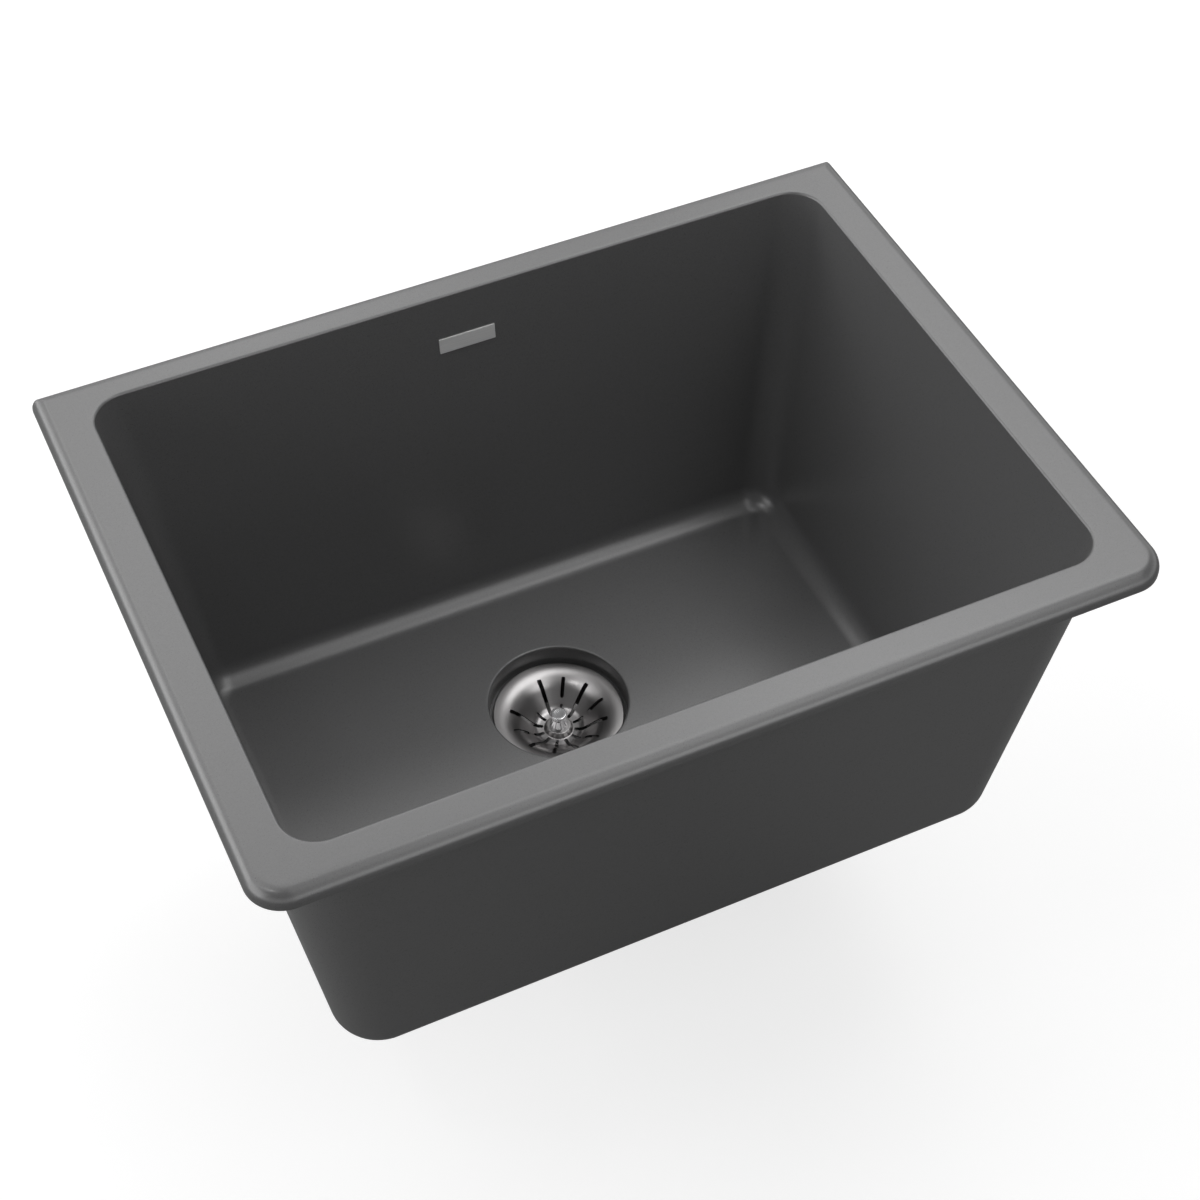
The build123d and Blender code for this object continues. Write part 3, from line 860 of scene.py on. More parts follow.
def spun_material(spun_tree, name, tone, roughness, line_width, contrast, bump):
    """Metal with fine lines round the drain axis, and painted shade on marked faces."""
    material, tree, shader, place = blank_material(name)
    centred = add_node(tree, "ShaderNodeMapping", {"Vector": place, "Location": -DRAIN})
    spun = add_node(tree, "ShaderNodeGroup", {
        "Vector": centred.outputs[0],
        "Line Width": line_width,
        "Break Up": 2.5,
    }, node_tree=spun_tree)
    lines = spun.outputs["Lines"]
    mixed = maths(tree, "MULTIPLY_ADD", spun.outputs["Smudge"], 0.5, maths(tree, "MULTIPLY", lines, 0.5))
    # Painted shade: the marked slot walls take a tenth of the metal's colour.
    cut = add_node(tree, "ShaderNodeAttribute", attribute_name=SLOT_SHADE_MARK)
    toned = shaded(tree, tone, lines, 1 - contrast, 1 + contrast)
    wire(tree, shader, {
        "Base Color": dimmed(tree, toned, ranged(tree, cut.outputs["Fac"], 1.0, SLOT_PAINTED_SHADE)),
        "Metallic": 1.0,
        "Roughness": ranged(tree, mixed, roughness * 0.93, roughness * 1.07),
        "Normal": bumped(tree, lines, bump, 0.00005),
    })
    return material


def grained_material(grain_tree, name, tone, roughness, size, contrast, bump, metallic=0.0):
    """Moulded or cast surface with a soft grain."""
    material, tree, shader, place = blank_material(name)
    grain = add_node(tree, "ShaderNodeGroup", {"Vector": place, "Size": size}, node_tree=grain_tree)
    wire(tree, shader, {
        "Base Color": shaded(tree, tone, grain.outputs["Blotch"], 1 - contrast, 1 + contrast),
        "Metallic": metallic,
        "Roughness": ranged(tree, grain.outputs["Grain"], roughness * 0.85, roughness * 1.15),
        "Normal": bumped(tree, grain.outputs["Grain"], bump, 0.0001),
    })
    return material


def brushed_material(grain_tree, tone):
    """Lacquered plate, brushed in straight lines along its length."""
    material, tree, shader, place = blank_material("brushed_plate")
    stretched = add_node(tree, "ShaderNodeMapping", {"Vector": place, "Scale": (40.0, 2500.0, 2500.0)})
    lines = noise(tree, stretched.outputs[0], 1.0, 2.0)
    grain = add_node(tree, "ShaderNodeGroup", {"Vector": place, "Size": 0.0005}, node_tree=grain_tree)
    wire(tree, shader, {
        "Base Color": shaded(tree, tone, lines, 0.92, 1.06),
        "Metallic": 0.15,
        "Roughness": ranged(tree, grain.outputs["Blotch"], 0.42, 0.5),
        "Normal": bumped(tree, lines, 0.15, 0.00003),
    })
    return material


MATERIALS = {}


def build_materials(finishes):
    """All the finishes of the sink, kept by name."""
    spun = spun_effect()
    grain = grain_effect()
    MATERIALS["quartz"] = quartz_material(finishes, speckle_effect())
    MATERIALS["plate"] = brushed_material(grain, finishes.plate)
    # Key, name, colour, roughness, width of a line, contrast of the lines and strength of their bump
    metals = (
        ("steel", "spun_steel", finishes.steel, 0.3, 0.0003, 0.03, 0.03),
        ("knob", "turned_knob", finishes.chrome, 0.16, 0.0002, 0.04, 0.08),
        ("chrome", "plated_tube", finishes.chrome, 0.1, 0.0005, 0.02, 0.03),
        ("brass", "turned_brass", finishes.brass, 0.3, 0.0002, 0.06, 0.1),
    )
    for key, *values in metals:
        MATERIALS[key] = spun_material(spun, *values)
    # Key, name, colour, roughness, size of a grain, contrast of the grain, strength of its bump and metal
    mouldings = (
        ("casting", "plated_casting", finishes.casting, 0.38, 0.0005, 0.08, 0.25, 1.0),
        ("rubber", "black_rubber", finishes.rubber, 0.62, 0.0004, 0.2, 0.2),
        ("fibre", "pressed_fibre", finishes.fibre, 0.85, 0.0003, 0.25, 0.5),
        ("plastic", "white_plastic", finishes.plastic, 0.45, 0.0004, 0.03, 0.1),
    )
    for key, *values in mouldings:
        MATERIALS[key] = grained_material(grain, *values)


# The moulded bowl

ARC_STEPS = 18
LONG_STEPS = 36
SHORT_STEPS = 28


def box_loop(half_x, low_y, high_y, front_r, rear_r, level):
    """Loop round a rectangle with rounded corners, from the front left corner's end round to its start."""
    corners = [
        (half_x - front_r, low_y + front_r, front_r, -90),
        (half_x - rear_r, high_y - rear_r, rear_r, 0),
        (rear_r - half_x, high_y - rear_r, rear_r, 90),
        (front_r - half_x, low_y + front_r, front_r, 180),
    ]
    side_steps = (LONG_STEPS, SHORT_STEPS, LONG_STEPS, SHORT_STEPS)
    arcs = []
    for x, y, radius, first in corners:
        turns = [math.radians(first + 90 * step / ARC_STEPS) for step in range(ARC_STEPS + 1)]
        arcs.append([Vector((x + radius * math.cos(t), y + radius * math.sin(t), level)) for t in turns])
    loop = []
    for place, arc in enumerate(arcs):
        start = arcs[place - 1][-1]
        steps = side_steps[place]
        loop += [start.lerp(arc[0], step / steps) for step in range(steps)]
        loop += arc[:-1]
    return loop


class BowlShape:
    """Loops of the bowl's surface, from its sizes."""

    def __init__(self, sizes):
        self.sizes = sizes
        self.half_x = sizes.rim_length / 2 - sizes.rim_side
        self.half_y = (sizes.rim_width - sizes.rim_front - sizes.rim_back) / 2
        self.mid_y = (sizes.rim_front - sizes.rim_back) / 2
        self.base = -sizes.depth - sizes.floor
        self.lean = math.tan(sizes.draft)

    def inner_loop(self, out, level):
        """Loop of the cavity; out is how far it lies outside the opening's plan."""
        off_wall = out - level * self.lean
        corner = self.sizes.opening_corner + off_wall
        low_y = self.mid_y - self.half_y - out
        high_y = self.mid_y + self.half_y + out
        return box_loop(self.half_x + out, low_y, high_y, corner, corner, level)

    def rim_loop(self, out, level):
        """Loop of the rim; out is how far it lies outside the rim's plan."""
        sizes = self.sizes
        half_y = sizes.rim_width / 2 + out
        front_r = sizes.front_corner + out
        rear_r = max(sizes.rear_corner + out, sizes.opening_round / 2)
        return box_loop(sizes.rim_length / 2 + out, -half_y, half_y, front_r, rear_r, level)

    def shell_loop(self, off_wall, level):
        """Loop of the outer walls; off_wall is how far it lies outside the leaning wall."""
        sizes = self.sizes
        half_x = self.half_x + sizes.wall + level * math.tan(sizes.end_draft) + off_wall
        half_y = self.half_y + sizes.wall + level * math.tan(sizes.side_draft) + off_wall
        top = -sizes.rim_edge / 2
        share = (level - top) / (self.base - top)
        top_corner = sizes.outer_corner_top
        corner = top_corner + (sizes.outer_corner_base - top_corner) * share + off_wall
        return box_loop(half_x, self.mid_y - half_y, self.mid_y + half_y, corner, corner, level)

    def cavity(self):
        """Loops from the floor up the walls to the rim's top."""
        sizes = self.sizes
        foot = -sizes.depth * self.lean
        reach = sizes.floor_fillet
        corners = [(foot - reach, -sizes.depth), (foot, -sizes.depth), (0, 0), (2 * sizes.opening_round, 0)]
        path = rounded_path(corners, [sizes.floor_fillet, sizes.opening_round], 12)
        return [self.inner_loop(out, level) for out, level in path]

    def rim(self):
        """Loops over the rim's rounded edge to its underside."""
        sizes = self.sizes
        inset = 1.2 * sizes.rim_round
        corners = [(-inset, 0), (0, 0), (0, -sizes.rim_edge), (-inset, -sizes.rim_edge)]
        path = rounded_path(corners, [sizes.rim_round, sizes.rim_lower_round], 14)
        return [self.rim_loop(out, level) for out, level in path]

    def shell(self):
        """Loops from the rim's underside down the outer walls to the base."""
        sizes = self.sizes
        lean = math.tan((sizes.end_draft + sizes.side_draft) / 2)
        top = -sizes.rim_edge
        head = top * lean
        foot = self.base * lean
        corners = [
            (head + 2 * sizes.ledge_fillet, top),
            (head, top),
            (foot, self.base),
            (foot - 1.2 * sizes.base_fillet, self.base),
        ]
        path = rounded_path(corners, [sizes.ledge_fillet, sizes.base_fillet], 12)
        return [self.shell_loop(out - level * lean, level) for out, level in path]

    def well(self, turns):
        """Loops down the outside of the drain well, through its bore and up to the floor."""
        sizes = self.sizes
        outer = sizes.recess_r + sizes.well_wall
        floor = -sizes.depth
        corners = [
            (outer + 2 * sizes.well_fillet, self.base),
            (outer, self.base),
            (outer, WELL_LOW),
            (sizes.bore_r, WELL_LOW),
            (sizes.bore_r, LEDGE),
            (sizes.recess_r, LEDGE),
            (sizes.recess_r, floor),
            (sizes.recess_r + 2 * sizes.recess_lip, floor),
        ]
        bends = [sizes.well_fillet, sizes.well_edge, 0, 0, 0, sizes.recess_lip]
        path = rounded_path(corners, bends, 8)
        return [[DRAIN + polar(radius, turn, level) for turn in turns] for radius, level in path]

    def loops(self):
        """All loops of the closed surface, in order."""
        cavity = self.cavity()
        shell = self.shell()
        turns = [math.atan2(point.y - DRAIN.y, point.x - DRAIN.x) for point in cavity[0]]
        well = self.well(turns)
        base = [[a.lerp(b, share) for a, b in zip(shell[-1], well[0])] for share in (0.35, 0.7)]
        floor = [[a.lerp(b, share) for a, b in zip(well[-1], cavity[0])] for share in (0.2, 0.5, 0.8)]
        return cavity + self.rim() + shell + base + well + floor


class SINK_OT_bowl(bpy.types.Operator):
    """Mould the rim, bowl and drain well in one piece"""

    bl_idname = "sink.bowl"
    bl_label = "Moulded bowl"

    def execute(self, context):
        sizes = context.scene.sink.bowl
        bowl = loft("moulded_bowl", BowlShape(sizes).loops())
        values = insert_spacing(sizes)
        values["Radius"] = sizes.insert_r
        values["Depth"] = sizes.insert_length
        apply_tree(bowl, pocket_tree(), values)
        finish_piece(bowl, "quartz", "sink", "sink_bowl", sharp_degrees=40)
        return {"FINISHED"}


def insert_spacing(sizes):
    """Where the inserts lie, as inputs for the trees that use them."""
    return {
        "Side Spacing": sizes.rim_length - 2 * sizes.insert_inset,
        "Corner Spacing": sizes.rim_width - 2 * sizes.insert_end_inset,
        "Middle Spacing": 2 * sizes.insert_middle,
        "Level": -sizes.rim_edge,
    }


class SINK_OT_inserts(bpy.types.Operator):
    """Set the threaded brass inserts in the rim's underside"""

    bl_idname = "sink.inserts"
    bl_label = "Rim inserts"

    def execute(self, context):
        sizes = context.scene.sink.bowl
        ridges = 6
        threads = 9
        lead = 0.0008
        mouth = 0.0004
        thread_depth = 0.00025
        thread_end = 0.0006
        top = sizes.insert_length - 0.0001
        outer_r = sizes.insert_r - 0.00005
        groove_r = sizes.insert_r - 0.0003
        bore_r = sizes.insert_bore_r
        pitch = (top - 2 * lead) / ridges
        section = [(bore_r + mouth, 0), (outer_r, 0), (outer_r, lead)]
        for ridge in range(ridges):
            level = lead + ridge * pitch
            section += [(groove_r, level + pitch * 0.4), (outer_r, level + pitch * 0.8)]
        section += [(groove_r, top), (bore_r, top)]
        section += thread_rows(bore_r, thread_depth, top, (top - thread_end) / threads, threads)
        inserts = loft("brass_inserts", ring_loops(section, 48, middle=Vector((0, 0, 0))))
        apply_tree(inserts, insert_tree(), insert_spacing(sizes))
        finish_piece(inserts, "brass", "sink", "rim_inserts")
        return {"FINISHED"}


class SINK_OT_plate(bpy.types.Operator):
    """Fix the plain plate on the back wall"""

    bl_idname = "sink.plate"
    bl_label = "Plain plate"

    def execute(self, context):
        sizes = context.scene.sink.bowl
        shape = BowlShape(sizes)
        wall_y = shape.mid_y + shape.half_y - sizes.plate_drop * shape.lean
        off_wall = Vector((0, -1, shape.lean)).normalized()
        along = Vector((-1, 0, 0))
        up = off_wall.cross(along)
        middle = Vector((0, wall_y, -sizes.plate_drop))
        corner = sizes.plate_edge
        levels = rounded_path(
            [(0, 0), (0, sizes.plate_thickness), (-2 * corner, sizes.plate_thickness)], [corner], 5
        )
        loops = []
        for inset, lift in levels:
            outline = []
            half_x = sizes.plate_length / 2 + inset
            half_y = sizes.plate_height / 2 + inset
            radius = max(corner + inset, corner / 4)
            for sx, sy, first in ((1, -1, -90), (1, 1, 0), (-1, 1, 90), (-1, -1, 180)):
                for step in range(5):
                    turn = math.radians(first + 90 * step / 4)
                    x = sx * (half_x - radius) + radius * math.cos(turn)
                    y = sy * (half_y - radius) + radius * math.sin(turn)
                    outline.append(middle + along * x + up * y + off_wall * lift)
            loops.append(outline)
        plate = loft("wall_plate", loops, closed=False)
        finish_piece(plate, "plate", "sink", "name_plate", sharp_degrees=30)
        return {"FINISHED"}


# The strainer and the fittings below it


class SINK_OT_strainer(bpy.types.Operator):
    """Press the strainer body and roll its threads"""

    bl_idname = "sink.strainer"
    bl_label = "Strainer body"

    def execute(self, context):
        sizes = context.scene.sink.drain
        seat = FLANGE_TOP - sizes.cup_depth
        points = [
            (FLANGE_R, FLANGE_TOP),
            (sizes.cup_r, FLANGE_TOP),
            (sizes.cup_r, seat + sizes.cup_cone),
            (sizes.seat_r, seat),
            (sizes.throat_r, seat),
            (sizes.throat_r, OUTLET_LOW),
        ]
        bends = [sizes.flange_bend, sizes.body_bend, sizes.body_bend, sizes.body_bend]
        upper = rounded_path(points, bends, 8)
        lower = beside(upper, sizes.sheet)
        body = lathe("pressed_strainer", upper + lower[::-1], 192)
        shank_r = sizes.cup_r + sizes.sheet
        outlet_r = sizes.throat_r + sizes.sheet
        threads = thread_tree()
        nut_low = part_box("locknut")[0].z - sizes.thread_clear
        coupling_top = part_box("coupling_nut")[1].z + sizes.thread_clear
        shank_low = seat + sizes.cup_cone + sizes.body_bend
        runs = ((shank_r, shank_low, nut_low), (outlet_r, coupling_top, seat - 2 * sizes.body_bend))
        for radius, low, high in runs:
            room = high - low - 2 * sizes.thread_depth
            apply_tree(body, threads, {
                "Radius": radius - sizes.thread_depth * 0.4,
                "Pitch": sizes.thread_pitch,
                "Turns": room / sizes.thread_pitch,
                "Depth": sizes.thread_depth,
                "Start": (DRAIN.x, DRAIN.y, low + sizes.thread_depth),
            })
        finish_piece(body, "steel", "sink", "strainer_body")
        return {"FINISHED"}


class SINK_OT_cross_bar(bpy.types.Operator):
    """Cast the cross bar that the basket's post drops into"""

    bl_idname = "sink.cross_bar"
    bl_label = "Cross bar"

    def execute(self, context):
        sizes = context.scene.sink.drain
        low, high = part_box("cross_bar")
        reach = half_across("cross_bar")
        edge = sizes.bar_width * 0.18
        hub_section = rounded_box(sizes.bar_bore_r, sizes.bar_hub_r, low.z, high.z, edge)
        arm_middle = (low.z + high.z) / 2
        half_width = sizes.bar_width / 2
        half_height = sizes.bar_height / 2
        outline = rounded_box(-half_width, half_width, -half_height, half_height, edge)
        root = sizes.bar_hub_r - edge
        stations = (root, root + edge, reach)
        arm_loops = [[Vector((x, y, arm_middle + z)) for y, z in outline] for x in stations]
        arms = loft("cross_arms", arm_loops, closed=False)
        apply_tree(arms, spoke_tree(), {"Count": 4, "Middle": tuple(DRAIN)})
        hub = lathe("brass_cross", hub_section, 96)
        fuse(hub, arms)
        finish_piece(hub, "brass", "sink", "cross_bar")
        return {"FINISHED"}


class SINK_OT_seals(bpy.types.Operator):
    """Lay the gaskets and washers"""

    bl_idname = "sink.seals"
    bl_label = "Gaskets and washers"

    def execute(self, context):
        sizes = context.scene.sink.drain
        shank_r = sizes.cup_r + sizes.sheet
        tail_bore = sizes.tail_r - sizes.tail_wall
        rings = (
            ("flange_gasket_ring", "flange_gasket", shank_r + sizes.flange_bend, "rubber", "seal_rubber"),
            ("under_gasket_ring", "under_gasket", shank_r + sizes.shank_fit, "rubber", "seal_rubber"),
            ("fibre_ring", "friction_washer", shank_r + sizes.shank_fit, "fibre", "fibre"),
            ("tail_seal", "tailpiece_washer", tail_bore, "plastic", "washer_plastic"),
        )
        for name, node, inner_r, material, slot in rings:
            low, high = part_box(node)
            ring = washer(name, inner_r, half_across(node), low.z, high.z, sizes.ring_edge)
            finish_piece(ring, material, "sink", node)
        return {"FINISHED"}


class SINK_OT_locknut(bpy.types.Operator):
    """Cast the lugged locknut"""

    bl_idname = "sink.locknut"
    bl_label = "Locknut"

    def execute(self, context):
        sizes = context.scene.sink.drain
        low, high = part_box("locknut")
        inner_r = sizes.cup_r + sizes.sheet + sizes.shank_fit
        ring_r = inner_r + sizes.locknut_wall
        flank = 0.0016

        def lugged(turn, inset):
            """Radius of the lugged outline at an angle."""
            pitch = FULL_TURN / sizes.lug_count
            off = (turn + pitch / 2) % pitch - pitch / 2
            aside = abs(math.sin(off)) * (ring_r + sizes.lug_reach)
            share = (sizes.lug_width / 2 - inset + flank / 2 - aside) / flank
            share = min(max(share, 0), 1)
            ease = share * share * (3 - 2 * share)
            return ring_r - inset + ease * sizes.lug_reach

        edge = sizes.nut_edge
        outer = [(edge, low.z), (edge * 0.3, low.z + edge * 0.3), (0, low.z + edge)]
        outer += [(0, high.z - edge * 0.5), (edge * 0.5, high.z)]
        threads = 5
        pitch = (high.z - low.z - 2 * edge) / threads
        bore = [(inner_r + edge * 0.5, high.z), (inner_r, high.z - edge * 0.5)]
        bore += thread_rows(inner_r, sizes.thread_depth, high.z - edge, pitch, threads)
        bore += [(inner_r + edge * 0.5, low.z)]
        count = 360
        nut = loft("lugged_locknut", ring_loops(outer, count, lugged) + ring_loops(bore, count))
        finish_piece(nut, "casting", "sink", "locknut")
        return {"FINISHED"}


def hexagon_radius(turn, flats, corner):
    """Radius of a hexagon with rounded corners at an angle."""
    pitch = FULL_TURN / 6
    off = (turn + pitch / 2) % pitch - pitch / 2
    straight = flats / 2 / math.cos(off)
    limit = flats / 2 / math.cos(pitch / 2) - corner * (1 / math.cos(pitch / 2) - 1)
    return min(straight, limit)


class SINK_OT_coupling(bpy.types.Operator):
    """Make the coupling nut and the tailpiece that it holds"""

    bl_idname = "sink.coupling"
    bl_label = "Coupling nut and tailpiece"

    def execute(self, context):
        sizes = context.scene.sink.drain
        low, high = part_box("coupling_nut")
        bore_r = sizes.throat_r + sizes.sheet + sizes.shank_fit
        neck_step = 0.0002
        neck_r = sizes.tail_neck_r + neck_step
        shoulder = low.z + sizes.coupling_shoulder
        edge = sizes.nut_edge
        round_r = sizes.coupling_flats / 2 + 0.0034

        def nut_radius(turn, inset):
            """Radius of the nut's outline, drawn in to a circle at its ends."""
            return min(
                hexagon_radius(turn, sizes.coupling_flats, sizes.coupling_corner) - inset * 0.3,
                round_r - inset * 3.2,
            )

        outer = [(edge * 1.6, low.z), (edge * 0.6, low.z + edge * 0.7), (0, low.z + edge * 1.8)]
        outer += [(0, high.z - edge * 1.8), (edge * 0.6, high.z - edge * 0.7), (edge * 1.6, high.z)]
        threads = 5
        pitch = (high.z - shoulder - 2 * edge) / threads
        bore = [(bore_r + edge * 0.6, high.z), (bore_r, high.z - edge * 0.6)]
        bore += thread_rows(bore_r, sizes.thread_depth, high.z - edge, pitch, threads)
        bore += [(bore_r, shoulder), (neck_r, shoulder)]
        bore += [(neck_r, low.z + edge * 0.4), (neck_r + edge * 0.4, low.z)]
        count = 240
        nut = loft("hex_coupling", ring_loops(outer, count, nut_radius) + ring_loops(bore, count))
        finish_piece(nut, "casting", "sink", "coupling_nut")

        tail_low, tail_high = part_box("tailpiece")
        flange_r = half_across("tailpiece")
        flange_low = tail_high.z - sizes.tail_flange
        inner_r = sizes.tail_r - sizes.tail_wall
        neck_low = low.z - 0.001
        lip = 0.0003
        corners = [
            (inner_r, tail_high.z),
            (flange_r, tail_high.z),
            (flange_r, flange_low),
            (sizes.tail_neck_r, flange_low),
            (sizes.tail_neck_r, neck_low),
            (sizes.tail_r, neck_low - neck_step),
            (sizes.tail_r, tail_low.z),
            (inner_r, tail_low.z),
        ]
        edges = [0.0008, 0.0006, 0.0004, lip, 0, 0, lip, lip]
        tail = lathe("plated_tailpiece", rounded_outline(corners, edges, 4), 128)
        finish_piece(tail, "chrome", "sink", "tailpiece")
        return {"FINISHED"}


# The basket and what hangs from it


class SINK_OT_basket(bpy.types.Operator):
    """Press the strainer basket and punch its slots"""

    bl_idname = "sink.basket"
    bl_label = "Strainer basket"

    def execute(self, context):
        sizes = context.scene.sink.basket
        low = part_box("basket_cup")[0].z
        dish = BASKET_TOP - sizes.dish_depth
        foot = dish - sizes.dish_fall
        hub = foot + sizes.hub_rise
        points = [
            (BASKET_R, FLANGE_TOP),
            (BASKET_R, BASKET_TOP),
            (sizes.shoulder_r, BASKET_TOP - sizes.shoulder_fall),
            (sizes.dish_r, dish),
            (sizes.hub_r + sizes.hub_flare, foot),
            (sizes.hub_r, hub),
            (sizes.post_r + sizes.post_fit, hub),
        ]
        bends = [sizes.edge_r, sizes.shoulder_bend, sizes.dish_bend, sizes.hub_bend, sizes.hub_bend]
        upper = rounded_path(points, bends, 14)
        lower = beside(upper, sizes.sheet)
        cup = lathe("pressed_basket", upper + lower[::-1], 240)
        spare = 0.001
        bottom = low - spare
        values = {
            "Count": sizes.slot_pairs,
            "Blank Place": sizes.blank_place,
            "Cut Height": BASKET_TOP - bottom + spare,
            "Middle": (DRAIN.x, DRAIN.y, bottom),
        }
        inner = sizes.long_inner
        rows = {
            "Long": (inner, sizes.long_outer, sizes.long_narrow, sizes.long_wide, sizes.long_angle),
            "Short": (sizes.short_middle, sizes.short_outer, sizes.short_width, sizes.short_width, 0.0),
            "Stub": (inner, sizes.stub_outer, sizes.stub_width, sizes.stub_width, 0.0),
        }
        for row, measures in rows.items():
            for label, value in zip(SLOT_MEASURES, measures):
                values[f"{row} {label}"] = value
        apply_tree(cup, slot_tree(), values)
        # Marks the slots' side walls for painted shade.
        mark_slot_shade_faces(cup)
        finish_piece(cup, "steel", "basket", "basket_cup")
        return {"FINISHED"}


POST_GROOVE = 0.0006


class SINK_OT_knob(bpy.types.Operator):
    """Turn the knob, its post and the nut between them"""

    bl_idname = "sink.knob"
    bl_label = "Knob and post"

    def execute(self, context):
        sizes = context.scene.sink.basket
        low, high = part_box("basket_knob")
        waist = high.z - sizes.knob_waist_drop
        hole = sizes.post_r + sizes.post_fit
        crown = high.z - sizes.knob_crown
        dimple = 0.0003
        top_bend = 0.004
        waist_bend = 0.0022
        foot_bend = 0.00045
        foot_edge = 0.0002
        corners = [
            (0, high.z - dimple),
            (sizes.knob_r * 0.62, high.z),
            (sizes.knob_r, high.z),
            (sizes.knob_r, high.z - sizes.knob_disc),
            (sizes.knob_waist_r, waist),
            (sizes.knob_foot_r, low.z + sizes.knob_foot),
            (sizes.knob_foot_r, low.z),
            (hole, low.z),
            (hole, crown),
            (0, crown),
        ]
        bends = [0, top_bend, sizes.knob_edge, sizes.knob_edge, waist_bend, foot_bend, foot_edge, 0, 0, 0]
        knob = lathe("turned_knob", rounded_outline(corners, bends, 6), 96)
        finish_piece(knob, "knob", "basket", "basket_knob")

        post_low, post_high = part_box("basket_post")
        clip_low, clip_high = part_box("post_clip")
        plate_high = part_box("stopper_plate")[1].z
        spring_low, spring_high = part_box("post_spring")
        nut_low, nut_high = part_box("post_nut")
        collar_r = half_across("basket_post")
        collar_high = plate_high + 0.002
        bevel = 0.0003
        groove_r = sizes.post_r - POST_GROOVE
        tip_r = 0.0032
        chamfer = 0.0007
        top_chamfer = 0.0005
        threads = 12
        thread_depth = 0.0003
        thread_high = post_high.z - 0.001
        thread_low = nut_low.z - 0.002
        pitch = (thread_high - thread_low) / threads
        section = [
            (0, post_high.z),
            (sizes.post_r - top_chamfer, post_high.z),
            (sizes.post_r, post_high.z - top_chamfer),
        ]
        root_r = sizes.post_r - thread_depth
        section += thread_rows(root_r, thread_depth, thread_high + pitch / 2, pitch, threads)
        section += [
            (sizes.post_r, thread_low),
            (sizes.post_r, collar_high),
            (collar_r - bevel, collar_high),
            (collar_r, collar_high - bevel),
            (collar_r, plate_high),
            (sizes.post_r, plate_high),
            (sizes.post_r, clip_high.z),
            (groove_r, clip_high.z),
            (groove_r, clip_low.z),
            (sizes.post_r, clip_low.z),
            (sizes.post_r, spring_high.z),
            (sizes.post_tail_r, spring_high.z),
            (sizes.post_tail_r, spring_low.z),
            (tip_r, spring_low.z),
            (tip_r, post_low.z + chamfer),
            (tip_r - chamfer, post_low.z),
            (0, post_low.z),
        ]
        post = lathe("turned_post", section, 72)
        finish_piece(post, "knob", "basket", "basket_post")

        flats = min(nut_high.x - nut_low.x, nut_high.y - nut_low.y)
        first_turn = math.pi / 6 if nut_high.x - nut_low.x > nut_high.y - nut_low.y else 0.0
        corner = 0.0004

        def nut_radius(turn, inset):
            """Radius of the nut's outline at an angle."""
            return hexagon_radius(turn + first_turn, flats, corner) - inset

        foot_inset = 0.0006
        foot_rise = 0.0005
        top_edge = 0.0002
        outer = [(foot_inset, nut_low.z), (0, nut_low.z + foot_rise)]
        outer += [(0, nut_high.z - top_edge), (top_edge, nut_high.z)]
        bore = [
            (hole + bevel, nut_high.z),
            (hole, nut_high.z - bevel),
            (hole, nut_low.z + bevel),
            (hole + bevel, nut_low.z),
        ]
        count = 120
        nut = loft("hex_post_nut", ring_loops(outer, count, nut_radius) + ring_loops(bore, count))
        finish_piece(nut, "knob", "basket", "post_nut")
        return {"FINISHED"}


class SINK_OT_stopper(bpy.types.Operator):
    """Mould the rubber stopper and lay its backing washer"""

    bl_idname = "sink.stopper"
    bl_label = "Stopper"

    def execute(self, context):
        sizes = context.scene.sink.basket
        low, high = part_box("stopper_disc")
        outer_r = half_across("stopper_disc")
        hole = sizes.post_r + sizes.post_fit
        slope = (high.z - low.z) / 2
        rib = sizes.rib_height
        rib_r = outer_r - 2 * slope
        corners = [
            (hole, low.z + rib),
            (rib_r - 3 * rib, low.z + rib),
            (rib_r - rib, low.z),
            (rib_r + rib, low.z),
            (outer_r, low.z + sizes.stopper_edge),
            (outer_r, high.z - sizes.stopper_edge),
            (outer_r - slope, high.z),
            (hole, high.z),
        ]
        bend = 0.0006
        bends = [0, bend, bend, bend, bend, bend, 0.001, 0]
        disc = lathe("rubber_stopper", rounded_outline(corners, bends, 5), 128)
        finish_piece(disc, "rubber", "stopper", "stopper_disc")

        plate_low, plate_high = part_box("stopper_plate")
        plate_r = half_across("stopper_plate")
        plate_edge = 0.0003
        plate = washer("backing_washer", hole, plate_r, plate_low.z, plate_high.z, plate_edge)
        finish_piece(plate, "steel", "stopper", "stopper_plate")
        return {"FINISHED"}


